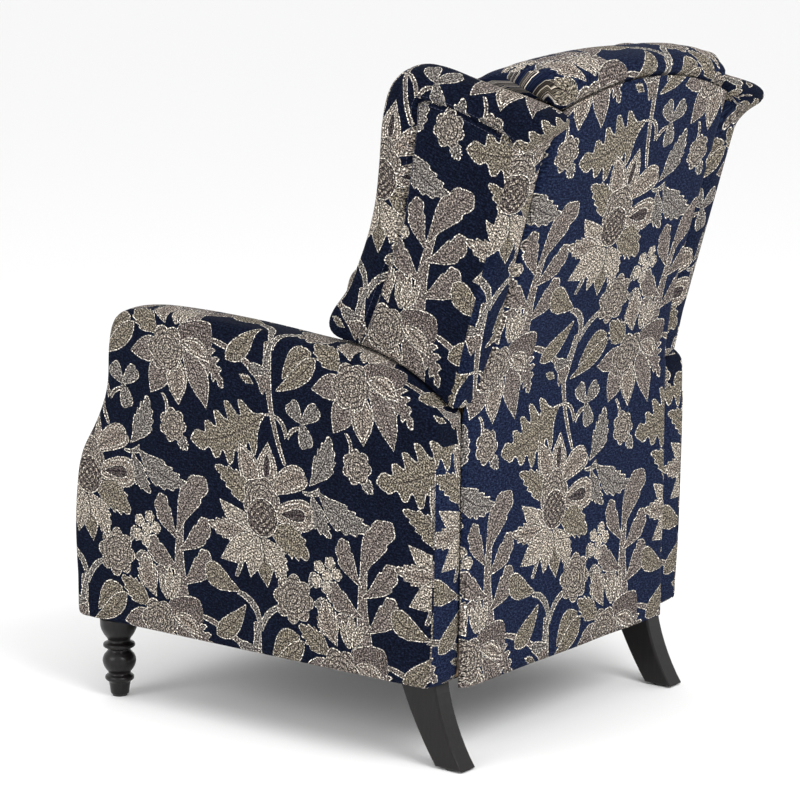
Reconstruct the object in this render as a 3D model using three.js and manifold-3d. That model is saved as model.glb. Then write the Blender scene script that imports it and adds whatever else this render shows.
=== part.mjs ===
// Push-back wingback recliner: legs, frame, mechanism, seat, reclining back and footrest.
// Units are millimetres. +Z is up, the chair faces -Y, and X = 0 is its plane of symmetry.
// The origin is on the floor, in the middle of the chair's bounding box.
import * as THREE from 'three';
import { mergeVertices } from 'three/addons/utils/BufferGeometryUtils.js';
import Module from 'manifold-3d';

const wasm = await Module();
wasm.setup();

// ---- Driving dimensions ----
const GAP = 0.3;                  // space left between pieces that touch
const ARM_OUTER = 345;            // half of the overall width
const ARM_INNER = 267;
const BASE_BOTTOM = 132;
const BASE_REAR = 262;
const FRAME_BOTTOM = 134;
const PIVOT = { y: 43, z: 275 };  // recline pivot, on the base's side plates
const ARM_TOP_RADIUS = 359;       // the arm's rear top is an arc about the pivot
const WING_RADIUS = 364.5;        // the wing's underside is an arc just outside it
const KINK = { y: 281, z: 545 };  // where the leaning back meets the upright skirt
const BACK_SLOPE = 0.2955;        // rearward travel of the back's outer face per unit of height
const BACK_TOP = 1003;            // top of the back's wooden frame
const BACK_HALF_WIDTH = 227;      // between the wings
const WING_INNER = 228;
const WING_OUTER = 298;
const POST_OUTER = 226;
const POST_INNER = 196;
const SEAT_SIDE = 222;
const SEAT_TOP = 470;
const PIN_RADIUS = 5.95;
const PIN_HEAD_RADIUS = 10;
const HOLE_RADIUS = 6.03;
const WIRE_RADIUS = 1.7;
const ROUND = 12;                 // steps per half turn on pins and their holes
const GLIDE_HEIGHT = 3;

// Side plates lie beside one another in these layers, outward from the seat frame.
const SLIDE_LAYER = [222.3, 225.9];
const BRACKET_LAYER = [226.3, 229.7];
const PLATE_LAYER = [230, 234];
const INNER_LINK_LAYER = [235, 239];
const OUTER_LINK_LAYER = [240, 244];

// Footrest linkage, stored: two equal links fold between the seat and the footrest.
const LINK_LENGTH = 170;
const LINK_HALF_WIDTH = 11;
const SEAT_LINK_PIN = { y: -280, z: 338 };
const FOOTREST_PIN = { y: -368, z: 250 };
const ELBOW_PIN = elbow(SEAT_LINK_PIN, FOOTREST_PIN, LINK_LENGTH);

const FABRIC = { color: 0x16224a, roughness: 0.9, metalness: 0 };
const LINING = { color: 0x111113, roughness: 0.95, metalness: 0 };
const TIMBER = { color: 0xb58c5c, roughness: 0.7, metalness: 0 };
const BLACK_WOOD = { color: 0x0b0a0a, roughness: 0.32, metalness: 0 };
const STEEL = { color: 0x3c3f44, roughness: 0.45, metalness: 0.8 };
const ZINC = { color: 0xa9adb2, roughness: 0.3, metalness: 1 };
const NYLON = { color: 0x1c1c1e, roughness: 0.5, metalness: 0 };

const chair = new THREE.Group();

// ---- Helpers ----
function add(name, geometry, look) {
  const mesh = new THREE.Mesh(geometry, new THREE.MeshStandardMaterial(look));
  mesh.name = name;
  chair.add(mesh);
}

// Calls build(side, word) for the sitter's left (+X) and right (-X).
function onBothSides(build) {
  build(1, 'left');
  build(-1, 'right');
}

// The elbow of a two-link arm, on the rear and lower side of the line from a to b.
function elbow(a, b, length) {
  const dy = b.y - a.y;
  const dz = b.z - a.z;
  const span = Math.hypot(dy, dz);
  const offset = Math.sqrt(length ** 2 - (span / 2) ** 2);
  return {
    y: (a.y + b.y) / 2 - (dz / span) * offset,
    z: (a.z + b.z) / 2 + (dy / span) * offset,
  };
}

// Outer face of the leaning back at a height.
function backRear(z) {
  return KINK.y + (z - KINK.z) * BACK_SLOPE;
}

function polygon(points) {
  return new THREE.Shape(points.map(([y, z]) => new THREE.Vector2(y, z)));
}

function vectors(points) {
  return points.map(([y, z]) => new THREE.Vector2(y, z));
}

function circle(y, z, radius, Kind = THREE.Shape) {
  const shape = new Kind();
  shape.absarc(y, z, radius, 0, Math.PI * 2, false);
  return shape;
}

// Turns a shape drawn in (Y, Z) and extruded along its own Z into one extruded along X.
function standUp(geometry, x) {
  const axes = new THREE.Matrix4().makeBasis(
    new THREE.Vector3(0, 1, 0),
    new THREE.Vector3(0, 0, 1),
    new THREE.Vector3(1, 0, 0),
  );
  return geometry.applyMatrix4(axes).translate(x, 0, 0);
}

// A side profile given thickness from x0 to x1, with its edges rounded inward.
function sidePlate(shape, x0, x1, rounding = 0, curveSegments = 8) {
  const from = Math.min(x0, x1);
  const thickness = Math.abs(x1 - x0);
  const geometry = new THREE.ExtrudeGeometry(shape, {
    depth: thickness - 2 * rounding,
    bevelEnabled: rounding > 0,
    bevelThickness: rounding,
    bevelSize: rounding,
    bevelOffset: -rounding,
    bevelSegments: 2,
    curveSegments,
  });
  return standUp(geometry, from + rounding);
}

// The same profile grown by a clearance on every side, for the slot that holds a plate.
function slotFor(shape, x0, x1, clearance = 0.4) {
  const geometry = new THREE.ExtrudeGeometry(shape, {
    depth: Math.abs(x1 - x0),
    bevelThickness: clearance,
    bevelSize: clearance,
    bevelSegments: 1,
    curveSegments: 2,
  });
  return standUp(geometry, Math.min(x0, x1));
}

function box(x, y, z) {
  const geometry = new THREE.BoxGeometry(Math.abs(x[1] - x[0]), y[1] - y[0], z[1] - z[0]);
  return geometry.translate((x[0] + x[1]) / 2, (y[0] + y[1]) / 2, (z[0] + z[1]) / 2);
}

function scaled(layer, side) {
  return layer.map((x) => x * side);
}

// The same layer on the chair's left or right, smaller X first.
function spanOn(side, inner, outer) {
  return scaled([inner, outer], side).sort((a, b) => a - b);
}

// A round bar along X.
function crossBar(y, z, x0, x1, radius) {
  return sidePlate(circle(y, z, radius), x0, x1, 0, ROUND);
}

// A piece of the back that follows its lean; depths are measured inward from the outer face.
function leaningPlate(z0, z1, depth0, depth1, x0, x1) {
  const corners = [
    [backRear(z0) - depth1, z0],
    [backRear(z0) - depth0, z0],
    [backRear(z1) - depth0, z1],
    [backRear(z1) - depth1, z1],
  ];
  return sidePlate(polygon(corners), x0, x1);
}

function toSolid(geometry) {
  const plain = geometry.clone();
  plain.deleteAttribute('normal');
  plain.deleteAttribute('uv');
  const merged = mergeVertices(plain, 1e-3);
  return new wasm.Manifold(new wasm.Mesh({
    numProp: 3,
    vertProperties: new Float32Array(merged.attributes.position.array),
    triVerts: new Uint32Array(merged.index.array),
  }));
}

function toGeometry(solid) {
  const mesh = solid.getMesh();
  const geometry = new THREE.BufferGeometry();
  geometry.setAttribute('position', new THREE.BufferAttribute(mesh.vertProperties, 3));
  geometry.setIndex(new THREE.BufferAttribute(mesh.triVerts, 1));
  geometry.computeVertexNormals();
  return geometry;
}

function joined(...pieces) {
  return toGeometry(pieces.map(toSolid).reduce((whole, piece) => whole.add(piece)));
}

function cut(piece, ...tools) {
  return toGeometry(tools.map(toSolid).reduce((whole, tool) => whole.subtract(tool), toSolid(piece)));
}

// ---- Base: arms ----
const RAIL_TOP = 200;
const RAIL_FRONT = -430;
const RAIL_LAYER = [300, 330];
const PANEL_LAYER = [300, 318];
const ARM_FRONT = [
  [-447, BASE_BOTTOM], [-455, 225], [-455, 310], [-441, 400], [-401, 464], [-375, 522],
  [-364, 588], [-345, 637], [-300, 658], [-215, 659], [-90, 650], [30, 635.5],
];
const ARM_ROUNDING = 14;
const RAIL_CLEARANCE = 0.5;       // between a side rail and the arm's padding above it
const ARM_REAR = [[279, 500], [278, 400], [273, 240], [BASE_REAR, BASE_BOTTOM]];

function armOutline() {
  const shape = new THREE.Shape();
  shape.moveTo(...ARM_FRONT[0]);
  shape.splineThru(vectors(ARM_FRONT.slice(1)));
  shape.absarc(PIVOT.y, PIVOT.z, ARM_TOP_RADIUS, THREE.MathUtils.degToRad(83),
    THREE.MathUtils.degToRad(49), true);
  ARM_REAR.forEach(([y, z]) => shape.lineTo(y, z));
  return shape;
}

// The plywood inside an arm keeps 25 to 40 mm of padding around it.
const ARM_PANEL = polygon([
  [-410, RAIL_TOP + 0.6], [-410, 380], [-355, 470], [-325, 600], [-290, 626],
  [40, 602], [150, 580], [235, 530], [235, RAIL_TOP + 0.6],
]);

onBothSides((side, word) => {
  const arm = sidePlate(armOutline(), side * ARM_INNER, side * ARM_OUTER, ARM_ROUNDING, 2);
  const railSpace = box(
    spanOn(side, ARM_INNER - 5, RAIL_LAYER[1] + 1),
    [RAIL_FRONT - 1, 300],
    [FRAME_BOTTOM - 34, RAIL_TOP + RAIL_CLEARANCE],
  );
  const panelSpace = slotFor(ARM_PANEL, ...scaled(PANEL_LAYER, side));
  add(`arm_${word}`, cut(arm, railSpace, panelSpace), FABRIC);
  add(`arm_panel_${word}`, sidePlate(ARM_PANEL, ...scaled(PANEL_LAYER, side)), TIMBER);
});

// ---- Base: wooden frame ----
const CROSS_RAIL_REACH = RAIL_LAYER[0] - GAP;
const FRONT_RAIL_Y = [-375, -315];
const FRONT_RAIL_TOP = 152;
const REAR_RAIL_Y = [236, 260];
const REAR_RAIL_TOP = 186;
const BLOCK_TOP = 172;
const FRONT_BLOCK_Y = [-428, FRONT_RAIL_Y[0] - GAP];
const REAR_BLOCK_Y = [180, REAR_RAIL_Y[0] - GAP];
const DUST_COVER_THICKNESS = 2;

onBothSides((side, word) => {
  const railX = spanOn(side, ...RAIL_LAYER);
  add(`side_rail_${word}`, box(railX, [RAIL_FRONT, BASE_REAR - 2], [FRAME_BOTTOM, RAIL_TOP]), TIMBER);
  const blockX = spanOn(side, ARM_INNER + 1, CROSS_RAIL_REACH);
  const blockZ = [FRAME_BOTTOM, BLOCK_TOP];
  add(`front_leg_block_${word}`, box(blockX, FRONT_BLOCK_Y, blockZ), TIMBER);
  add(`rear_leg_block_${word}`, box(blockX, REAR_BLOCK_Y, blockZ), TIMBER);
});
const crossRailX = [-CROSS_RAIL_REACH, CROSS_RAIL_REACH];
add('front_cross_rail', box(crossRailX, FRONT_RAIL_Y, [FRAME_BOTTOM, FRONT_RAIL_TOP]), TIMBER);
add('rear_cross_rail', box(crossRailX, REAR_RAIL_Y, [FRAME_BOTTOM, REAR_RAIL_TOP]), TIMBER);
add('dust_cover', box(
  [-(ARM_INNER - 1), ARM_INNER - 1],
  [FRONT_BLOCK_Y[0], BASE_REAR - 2],
  [FRAME_BOTTOM - DUST_COVER_THICKNESS, FRAME_BOTTOM - GAP],
), LINING);

// ---- Base: legs ----
const LEG_TOP = BASE_BOTTOM - GAP;
const FRONT_LEG = { x: 310, y: -390 };
const REAR_LEG_X = [271, 308];
const REAR_LEG_TOP_Y = [187, 255];
const REAR_LEG_FOOT_Y = [256, 306];
const REAR_LEG_ROUNDING = 3;
const FRONT_GLIDE_RADIUS = 12;
const REAR_GLIDE_RADIUS = 15;

// Radius and height of the turned front leg, from the foot up: toe, ring, ball, ring, cup.
const TURNING = [
  [0, GLIDE_HEIGHT], [14, GLIDE_HEIGHT], [15.5, 6], [16.5, 16], [18, 24], [22.5, 27], [23.5, 31],
  [22.5, 35], [18, 38], [20, 42], [25.5, 50], [27.5, 59], [25.5, 68], [20, 75], [17.5, 79],
  [24, 82], [26, 86], [24, 90], [18, 93], [20, 98], [26, 106], [30, 116], [31, LEG_TOP], [0, LEG_TOP],
];

function turnedLeg(x, y) {
  const geometry = new THREE.LatheGeometry(vectors(TURNING), 22);
  return geometry.rotateX(Math.PI / 2).translate(x, y, 0);
}

// The rear leg sweeps back like a sabre.
function sabreOutline() {
  const shape = new THREE.Shape();
  shape.moveTo(REAR_LEG_TOP_Y[0], LEG_TOP);
  shape.quadraticCurveTo(212, 66, REAR_LEG_FOOT_Y[0], GLIDE_HEIGHT);
  shape.lineTo(REAR_LEG_FOOT_Y[1], GLIDE_HEIGHT);
  shape.quadraticCurveTo(266, 62, REAR_LEG_TOP_Y[1], LEG_TOP);
  return shape;
}

function glide(x, y, radius) {
  const geometry = new THREE.CylinderGeometry(radius, radius, GLIDE_HEIGHT - GAP, 24);
  return geometry.rotateX(Math.PI / 2).translate(x, y, (GLIDE_HEIGHT - GAP) / 2);
}

onBothSides((side, word) => {
  add(`front_leg_${word}`, turnedLeg(side * FRONT_LEG.x, FRONT_LEG.y), BLACK_WOOD);
  const sabre = sidePlate(sabreOutline(), ...scaled(REAR_LEG_X, side), REAR_LEG_ROUNDING);
  add(`rear_leg_${word}`, sabre, BLACK_WOOD);
  add(`front_glide_${word}`, glide(side * FRONT_LEG.x, FRONT_LEG.y, FRONT_GLIDE_RADIUS), NYLON);
  const rearX = side * (REAR_LEG_X[0] + REAR_LEG_X[1]) / 2;
  const rearY = (REAR_LEG_FOOT_Y[0] + REAR_LEG_FOOT_Y[1]) / 2;
  add(`rear_glide_${word}`, glide(rearX, rearY, REAR_GLIDE_RADIUS), NYLON);
});

// ---- Base: recliner side plates and pivots ----
const PLATE_FOOT = REAR_RAIL_TOP + GAP;
const PLATE_FRONT_FOOT = FRONT_RAIL_TOP + GAP;
const FLANGE_THICKNESS = 4;
const REAR_FLANGE_Y = [238, 254];
const FRONT_FLANGE_Y = [-370, -320];
const CROSS_TUBE = { y: -120, z: 222, radius: 10 };

function platesOutline() {
  const shape = polygon([
    [FRONT_FLANGE_Y[0], PLATE_FRONT_FOOT], [FRONT_FLANGE_Y[1], PLATE_FRONT_FOOT],
    [-290, PLATE_FOOT], [REAR_FLANGE_Y[1], PLATE_FOOT], [REAR_FLANGE_Y[1], 212],
    [80, 298], [5, 298], [-200, 242], [FRONT_FLANGE_Y[0], 214],
  ]);
  shape.holes.push(circle(PIVOT.y, PIVOT.z, HOLE_RADIUS, THREE.Path));
  return shape;
}

onBothSides((side, word) => {
  const plate = sidePlate(platesOutline(), ...scaled(PLATE_LAYER, side), 0, ROUND);
  const flangeX = spanOn(side, POST_INNER + 10, PLATE_LAYER[1] - 1);
  const rearFlange = box(flangeX, REAR_FLANGE_Y, [PLATE_FOOT, PLATE_FOOT + FLANGE_THICKNESS]);
  const frontFlange = box(flangeX, FRONT_FLANGE_Y,
    [PLATE_FRONT_FOOT, PLATE_FRONT_FOOT + FLANGE_THICKNESS]);
  add(`mechanism_plate_${word}`, joined(plate, rearFlange, frontFlange), STEEL);
  const shank = crossBar(PIVOT.y, PIVOT.z, side * (BRACKET_LAYER[0] - 0.1), side * 235, PIN_RADIUS);
  const head = crossBar(PIVOT.y, PIVOT.z, side * (PLATE_LAYER[1] + GAP), side * 239,
    PIN_HEAD_RADIUS);
  add(`recline_pin_${word}`, joined(shank, head), ZINC);
});

const tubeReach = PLATE_LAYER[0] - GAP;
const crossTube = crossBar(CROSS_TUBE.y, CROSS_TUBE.z, -tubeReach, tubeReach, CROSS_TUBE.radius);
add('mechanism_cross_tube', crossTube, STEEL);

// ---- Base: outside skirt below the back ----
const SKIRT_FACE = 287;
const SKIRT_HALF_WIDTH = 278;
const SKIRT_BOTTOM = 122;
const PANEL_THICKNESS = 3;        // cover and backing board together
add('rear_skirt', box(
  [-SKIRT_HALF_WIDTH, SKIRT_HALF_WIDTH],
  [SKIRT_FACE - PANEL_THICKNESS, SKIRT_FACE],
  [SKIRT_BOTTOM, KINK.z - 3],
), FABRIC);

// ---- Back: wooden frame and hinge brackets ----
const POST_DEPTH = [14, 52];
const POST_BOTTOM = 345;
const BRACKET_HUB_RADIUS = 20;
const backRailX = [-(POST_INNER - GAP), POST_INNER - GAP];

function bracketOutline() {
  const shape = new THREE.Shape();
  shape.absarc(PIVOT.y, PIVOT.z, BRACKET_HUB_RADIUS, THREE.MathUtils.degToRad(110),
    THREE.MathUtils.degToRad(290), false);
  shape.lineTo(180, 312);
  shape.lineTo(213, 345);
  shape.lineTo(242, 470);
  shape.lineTo(208, 470);
  shape.lineTo(173, 354);
  shape.lineTo(140, 336);
  shape.holes.push(circle(PIVOT.y, PIVOT.z, HOLE_RADIUS, THREE.Path));
  return shape;
}

onBothSides((side, word) => {
  const postX = scaled([POST_INNER, POST_OUTER], side);
  add(`back_post_${word}`, leaningPlate(POST_BOTTOM, BACK_TOP, ...POST_DEPTH, ...postX), TIMBER);
  const bracket = sidePlate(bracketOutline(), ...scaled(BRACKET_LAYER, side), 0, ROUND);
  add(`back_bracket_${word}`, bracket, STEEL);
});
add('back_bottom_rail', leaningPlate(400, 445, ...POST_DEPTH, ...backRailX), TIMBER);
add('back_middle_rail', leaningPlate(600, 640, POST_DEPTH[0], 32, ...backRailX), TIMBER);
add('back_top_rail', leaningPlate(955, BACK_TOP, ...POST_DEPTH, ...backRailX), TIMBER);

// ---- Springs: sinuous wires joined by straight cross wires ----
const SPRING_HALF_WIDTH = 22;
const SPRING_PITCH = 26;
const CROSS_WIRE_OVERHANG = 8;

// place(across, along) gives the 3-D point for a distance across and along the spring bed.
function wire(points) {
  const path = new THREE.CatmullRomCurve3(points);
  return new THREE.ExtrudeGeometry(circle(0, 0, WIRE_RADIUS), {
    extrudePath: path,
    steps: points.length * 2,
    curveSegments: 2,
    bevelEnabled: false,
  });
}

function springBed(columns, length, ties, place) {
  const turns = Math.round(length / SPRING_PITCH);
  const wires = columns.map((centre) => {
    const points = [];
    for (let turn = 0; turn <= turns; turn += 1) {
      const isEnd = turn === 0 || turn === turns;
      const sideways = isEnd ? 0 : SPRING_HALF_WIDTH * (turn % 2 ? 1 : -1);
      points.push(place(centre + sideways, (turn / turns) * length));
    }
    return wire(points);
  });
  const reach = Math.max(...columns) + SPRING_HALF_WIDTH + CROSS_WIRE_OVERHANG;
  const crossWires = ties.map((along) => (
    wire([place(-reach, along), place(0, along), place(reach, along)])
  ));
  return joined(...wires, ...crossWires);
}

const BACK_SPRING_DEPTH = 56;
const BACK_SPRING_FOOT = 425;
add('back_springs', springBed([-112, 0, 112], 550, [165, 385], (across, along) => {
  const z = BACK_SPRING_FOOT + along;
  return new THREE.Vector3(across, backRear(z) - BACK_SPRING_DEPTH, z);
}), ZINC);

// ---- Back: padding, crest, wings and outside panel ----
const CUSHION_BACK_DEPTH = 62;
const CUSHION_BOTTOM = 482;
const CUSHION_TOP = 1008;
const CUSHION_ROUNDING = 12;
const CREST_ROUNDING = 8;

function backCushionOutline() {
  const shape = new THREE.Shape();
  shape.moveTo(112, CUSHION_BOTTOM);
  shape.splineThru(vectors([
    [98, 530], [108, 610], [136, 710], [166, 820], [198, 940], [236, CUSHION_TOP],
  ]));
  shape.lineTo(backRear(CUSHION_TOP) - CUSHION_BACK_DEPTH, CUSHION_TOP);
  shape.lineTo(backRear(CUSHION_BOTTOM) - CUSHION_BACK_DEPTH, CUSHION_BOTTOM);
  return shape;
}

function crestOutline() {
  const shape = new THREE.Shape();
  shape.moveTo(250, 1010);
  shape.splineThru(vectors([
    [240, 1038], [262, 1064], [310, 1077], [360, 1078], [405, 1066], [428, 1040], [422, 1010],
  ]));
  return shape;
}

const backX = [-BACK_HALF_WIDTH, BACK_HALF_WIDTH];
const backPanel = leaningPlate(KINK.z + 3, CUSHION_TOP, 0, PANEL_THICKNESS, ...backX);
add('back_cushion', sidePlate(backCushionOutline(), ...backX, CUSHION_ROUNDING, 2), FABRIC);
add('crest_pad', sidePlate(crestOutline(), ...backX, CREST_ROUNDING, 2), FABRIC);
add('outside_back_panel', backPanel, FABRIC);

const WING_TOP = [
  [421, 962], [447, 976], [455, 990], [443, 1003], [397, 1019],
  [344, 1040], [294, 1053], [240, 1060], [200, 1053], [165, 1032],
];
const WING_FRONT = [
  [150, 992], [146, 945], [142, 900], [136, 855], [123, 809],
  [104, 763], [79, 715], [57, 688], [44, 664], [50, 646],
];
const WING_REAR_TOP = 935;        // where the wing's rear edge turns out into its ear
const WING_ROUNDING = 9;

function wingOutline() {
  const shape = new THREE.Shape();
  shape.absarc(PIVOT.y, PIVOT.z, WING_RADIUS, THREE.MathUtils.degToRad(86.5),
    THREE.MathUtils.degToRad(49.5), true);
  shape.lineTo(backRear(WING_REAR_TOP), WING_REAR_TOP);
  shape.splineThru(vectors(WING_TOP));
  shape.splineThru(vectors(WING_FRONT));
  return shape;
}

// The wing's plywood rises beside the outer face and stops short of the rolled front.
const WING_PANEL = polygon([
  [backRear(600), 600], [backRear(930), 930], [350, 1000], [240, 1020], [190, 960], [170, 800],
  [130, 690], [180, 640],
]);
const WING_PANEL_LAYER = [256, 270];

onBothSides((side, word) => {
  const wing = sidePlate(wingOutline(), side * WING_INNER, side * WING_OUTER, WING_ROUNDING, 2);
  add(`wing_${word}`, cut(wing, slotFor(WING_PANEL, ...scaled(WING_PANEL_LAYER, side))), FABRIC);
  add(`wing_panel_${word}`, sidePlate(WING_PANEL, ...scaled(WING_PANEL_LAYER, side)), TIMBER);
});

// ---- Seat: frame, slide plates, springs and cushion ----
const SEAT_FRAME_Z = [300, 345];
const SEAT_FRAME_Y = [-330, 130];
const SEAT_RAIL = 30;
const seatRailX = [-(SEAT_SIDE - SEAT_RAIL - GAP), SEAT_SIDE - SEAT_RAIL - GAP];

function slideOutline() {
  const shape = polygon([
    [-320, 300], [-255, 262], [100, 262], [100, 344],
    [-262, 344], [-262, 352], [-296, 352], [-320, 344],
  ]);
  shape.holes.push(circle(SEAT_LINK_PIN.y, SEAT_LINK_PIN.z, HOLE_RADIUS, THREE.Path));
  return shape;
}

onBothSides((side, word) => {
  const sideRailX = spanOn(side, SEAT_SIDE - SEAT_RAIL, SEAT_SIDE);
  const slidePlate = sidePlate(slideOutline(), ...scaled(SLIDE_LAYER, side), 0, ROUND);
  add(`seat_side_rail_${word}`, box(sideRailX, SEAT_FRAME_Y, SEAT_FRAME_Z), TIMBER);
  add(`seat_slide_plate_${word}`, slidePlate, STEEL);
});
const frontRailY = [SEAT_FRAME_Y[0], SEAT_FRAME_Y[0] + SEAT_RAIL];
const rearRailY = [SEAT_FRAME_Y[1] - SEAT_RAIL, SEAT_FRAME_Y[1]];
add('seat_front_rail', box(seatRailX, frontRailY, SEAT_FRAME_Z), TIMBER);
add('seat_rear_rail', box(seatRailX, rearRailY, SEAT_FRAME_Z), TIMBER);

const SEAT_SPRING_HEIGHT = SEAT_FRAME_Z[1] + GAP + WIRE_RADIUS;
add('seat_springs', springBed([-135, -45, 45, 135], 430, [130, 300], (across, along) => (
  new THREE.Vector3(across, SEAT_FRAME_Y[0] + 15 + along, SEAT_SPRING_HEIGHT)
)), ZINC);

const SEAT_CUSHION_BOTTOM = 353;
const SEAT_CUSHION_HALF_WIDTH = 262;

function seatCushionOutline() {
  const shape = new THREE.Shape();
  shape.moveTo(140, SEAT_CUSHION_BOTTOM);
  shape.lineTo(-430, SEAT_CUSHION_BOTTOM);
  shape.splineThru(vectors([
    [-446, 368], [-450, 410], [-441, 450], [-415, 468],
    [-360, 476], [-240, 478], [-60, SEAT_TOP], [140, SEAT_TOP - 6],
  ]));
  return shape;
}

add('seat_cushion', sidePlate(
  seatCushionOutline(), -SEAT_CUSHION_HALF_WIDTH, SEAT_CUSHION_HALF_WIDTH, CUSHION_ROUNDING, 2,
), FABRIC);

// ---- Footrest: two links on each side, board, brackets and pad ----
function linkOutline(a, b, holes) {
  const angle = Math.atan2(b.z - a.z, b.y - a.y);
  const shape = new THREE.Shape();
  shape.absarc(a.y, a.z, LINK_HALF_WIDTH, angle + Math.PI / 2, angle + 1.5 * Math.PI, false);
  shape.absarc(b.y, b.z, LINK_HALF_WIDTH, angle - Math.PI / 2, angle + Math.PI / 2, false);
  holes.forEach((pin) => shape.holes.push(circle(pin.y, pin.z, HOLE_RADIUS, THREE.Path)));
  return shape;
}

function footrestBracketOutline() {
  const shape = polygon([
    [-404, 222], [-385, 222], [-355, 238], [-355, 262], [-385, 296], [-404, 296],
  ]);
  shape.holes.push(circle(FOOTREST_PIN.y, FOOTREST_PIN.z, HOLE_RADIUS, THREE.Path));
  return shape;
}

onBothSides((side, word) => {
  const innerLayer = scaled(INNER_LINK_LAYER, side);
  const outerLayer = scaled(OUTER_LINK_LAYER, side);
  const stud = (pin, x0, x1) => crossBar(pin.y, pin.z, side * x0, side * x1, PIN_RADIUS);

  const rearLink = sidePlate(linkOutline(SEAT_LINK_PIN, ELBOW_PIN, []), ...innerLayer, 0, ROUND);
  const seatStud = stud(SEAT_LINK_PIN, SLIDE_LAYER[0], 236);
  const elbowStud = stud(ELBOW_PIN, 238, 247);
  add(`footrest_rear_link_${word}`, joined(rearLink, seatStud, elbowStud), STEEL);

  const frontShape = linkOutline(ELBOW_PIN, FOOTREST_PIN, [ELBOW_PIN]);
  const frontLink = sidePlate(frontShape, ...outerLayer, 0, ROUND);
  const footStud = stud(FOOTREST_PIN, 234, 241);
  add(`footrest_front_link_${word}`, joined(frontLink, footStud), STEEL);
  const bracket = sidePlate(footrestBracketOutline(), ...innerLayer, 0, ROUND);
  add(`footrest_bracket_${word}`, bracket, STEEL);
});

const BOARD_BACK = -388;
const BOARD_FRONT = -405.7;
const BOARD_HALF_WIDTH = 234.5;
const BOARD_Z = [150, 335];
const PAD_FRONT = -441;
const PAD_HALF_WIDTH = 260;
const PAD_Z = [138, 345];
add('footrest_board', box(
  [-BOARD_HALF_WIDTH, BOARD_HALF_WIDTH], [BOARD_FRONT, BOARD_BACK], BOARD_Z,
), TIMBER);
const padOutline = polygon([
  [PAD_FRONT, PAD_Z[0]], [BOARD_FRONT - GAP, PAD_Z[0]],
  [BOARD_FRONT - GAP, PAD_Z[1]], [PAD_FRONT, PAD_Z[1]],
]);
add('footrest_pad', sidePlate(padOutline, -PAD_HALF_WIDTH, PAD_HALF_WIDTH, CUSHION_ROUNDING), FABRIC);

export default chair;
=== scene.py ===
"""The looks of the wingback push-back recliner: woven upholstery, padding, legs, light and camera.

Lengths are metres in the chair's frame: +Z up, the chair faces -Y, X = 0 is its plane of symmetry.
The woven pattern's own coordinates, u across and v up, are in millimetres.
"""
import math

import bmesh
import bpy
import numpy as np
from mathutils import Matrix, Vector, bvhtree, geometry, noise


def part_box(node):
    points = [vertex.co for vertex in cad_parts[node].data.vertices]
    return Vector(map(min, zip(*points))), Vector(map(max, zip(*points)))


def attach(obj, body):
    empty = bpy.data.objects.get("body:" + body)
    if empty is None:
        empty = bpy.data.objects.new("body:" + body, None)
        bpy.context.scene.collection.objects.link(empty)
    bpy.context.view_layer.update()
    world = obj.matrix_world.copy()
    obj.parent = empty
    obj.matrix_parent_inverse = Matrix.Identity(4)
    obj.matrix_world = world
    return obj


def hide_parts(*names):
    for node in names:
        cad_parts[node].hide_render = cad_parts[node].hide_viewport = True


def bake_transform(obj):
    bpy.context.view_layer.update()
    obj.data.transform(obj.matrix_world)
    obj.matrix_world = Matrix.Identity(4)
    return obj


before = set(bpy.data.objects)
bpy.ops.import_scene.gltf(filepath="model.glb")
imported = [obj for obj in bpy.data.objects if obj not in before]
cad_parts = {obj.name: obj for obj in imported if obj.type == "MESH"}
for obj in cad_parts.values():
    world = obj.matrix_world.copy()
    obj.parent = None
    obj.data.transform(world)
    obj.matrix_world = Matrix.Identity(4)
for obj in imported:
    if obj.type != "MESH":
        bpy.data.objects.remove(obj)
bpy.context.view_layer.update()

MM = 0.001
BACK_SLOPE = 0.2955
KINK = (0.281, 0.545)
PIVOT = (0.043, 0.275)
ARM_TOP_RADIUS = 0.359
WING_RADIUS = 0.3645

# The rear face of the base, which the outside-back cloth lies against.
BASE_REAR = 0.2845

# The corners of the space that the seat cushion may fill.
SEAT_LOW = (-0.2625, -0.4515, 0.3535)
SEAT_HIGH = (0.2625, 0.1405, 0.484)

# The camera looks from behind the chair and to its sitter's left. Angles are in degrees.
CAMERA_AZIMUTH = 127.7
CAMERA_ELEVATION = 11.3
CAMERA_TARGET = (0, -0.050, 0.450)
CAMERA_DISTANCE = 4.903
CAMERA_LENS = 135.7
CAMERA_SHIFT = (0.001, 0.027)


# ---- Camera, floor and light ----
def aim(obj, eye, target):
    obj.location = eye
    obj.rotation_mode = "QUATERNION"
    obj.rotation_quaternion = (Vector(target) - Vector(eye)).to_track_quat("-Z", "Y")


def make_camera():
    azimuth = math.radians(CAMERA_AZIMUTH)
    elevation = math.radians(CAMERA_ELEVATION)
    target = Vector(CAMERA_TARGET)
    back = Vector((
        math.sin(azimuth) * math.cos(elevation),
        -math.cos(azimuth) * math.cos(elevation),
        math.sin(elevation),
    ))
    data = bpy.data.cameras.new("camera")
    data.lens = CAMERA_LENS
    data.sensor_width = 36
    data.shift_x, data.shift_y = CAMERA_SHIFT
    data.clip_end = 100
    camera = bpy.data.objects.new("camera", data)
    bpy.context.scene.collection.objects.link(camera)
    aim(camera, target + back * CAMERA_DISTANCE, target)
    bpy.context.scene.camera = camera


def soft_light(name, eye, size, watts):
    data = bpy.data.lights.new(name, "AREA")
    data.shape = "DISK"
    data.size = size
    data.energy = watts
    light = bpy.data.objects.new(name, data)
    bpy.context.scene.collection.objects.link(light)
    aim(light, eye, (0, 0, 0.5))


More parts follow.
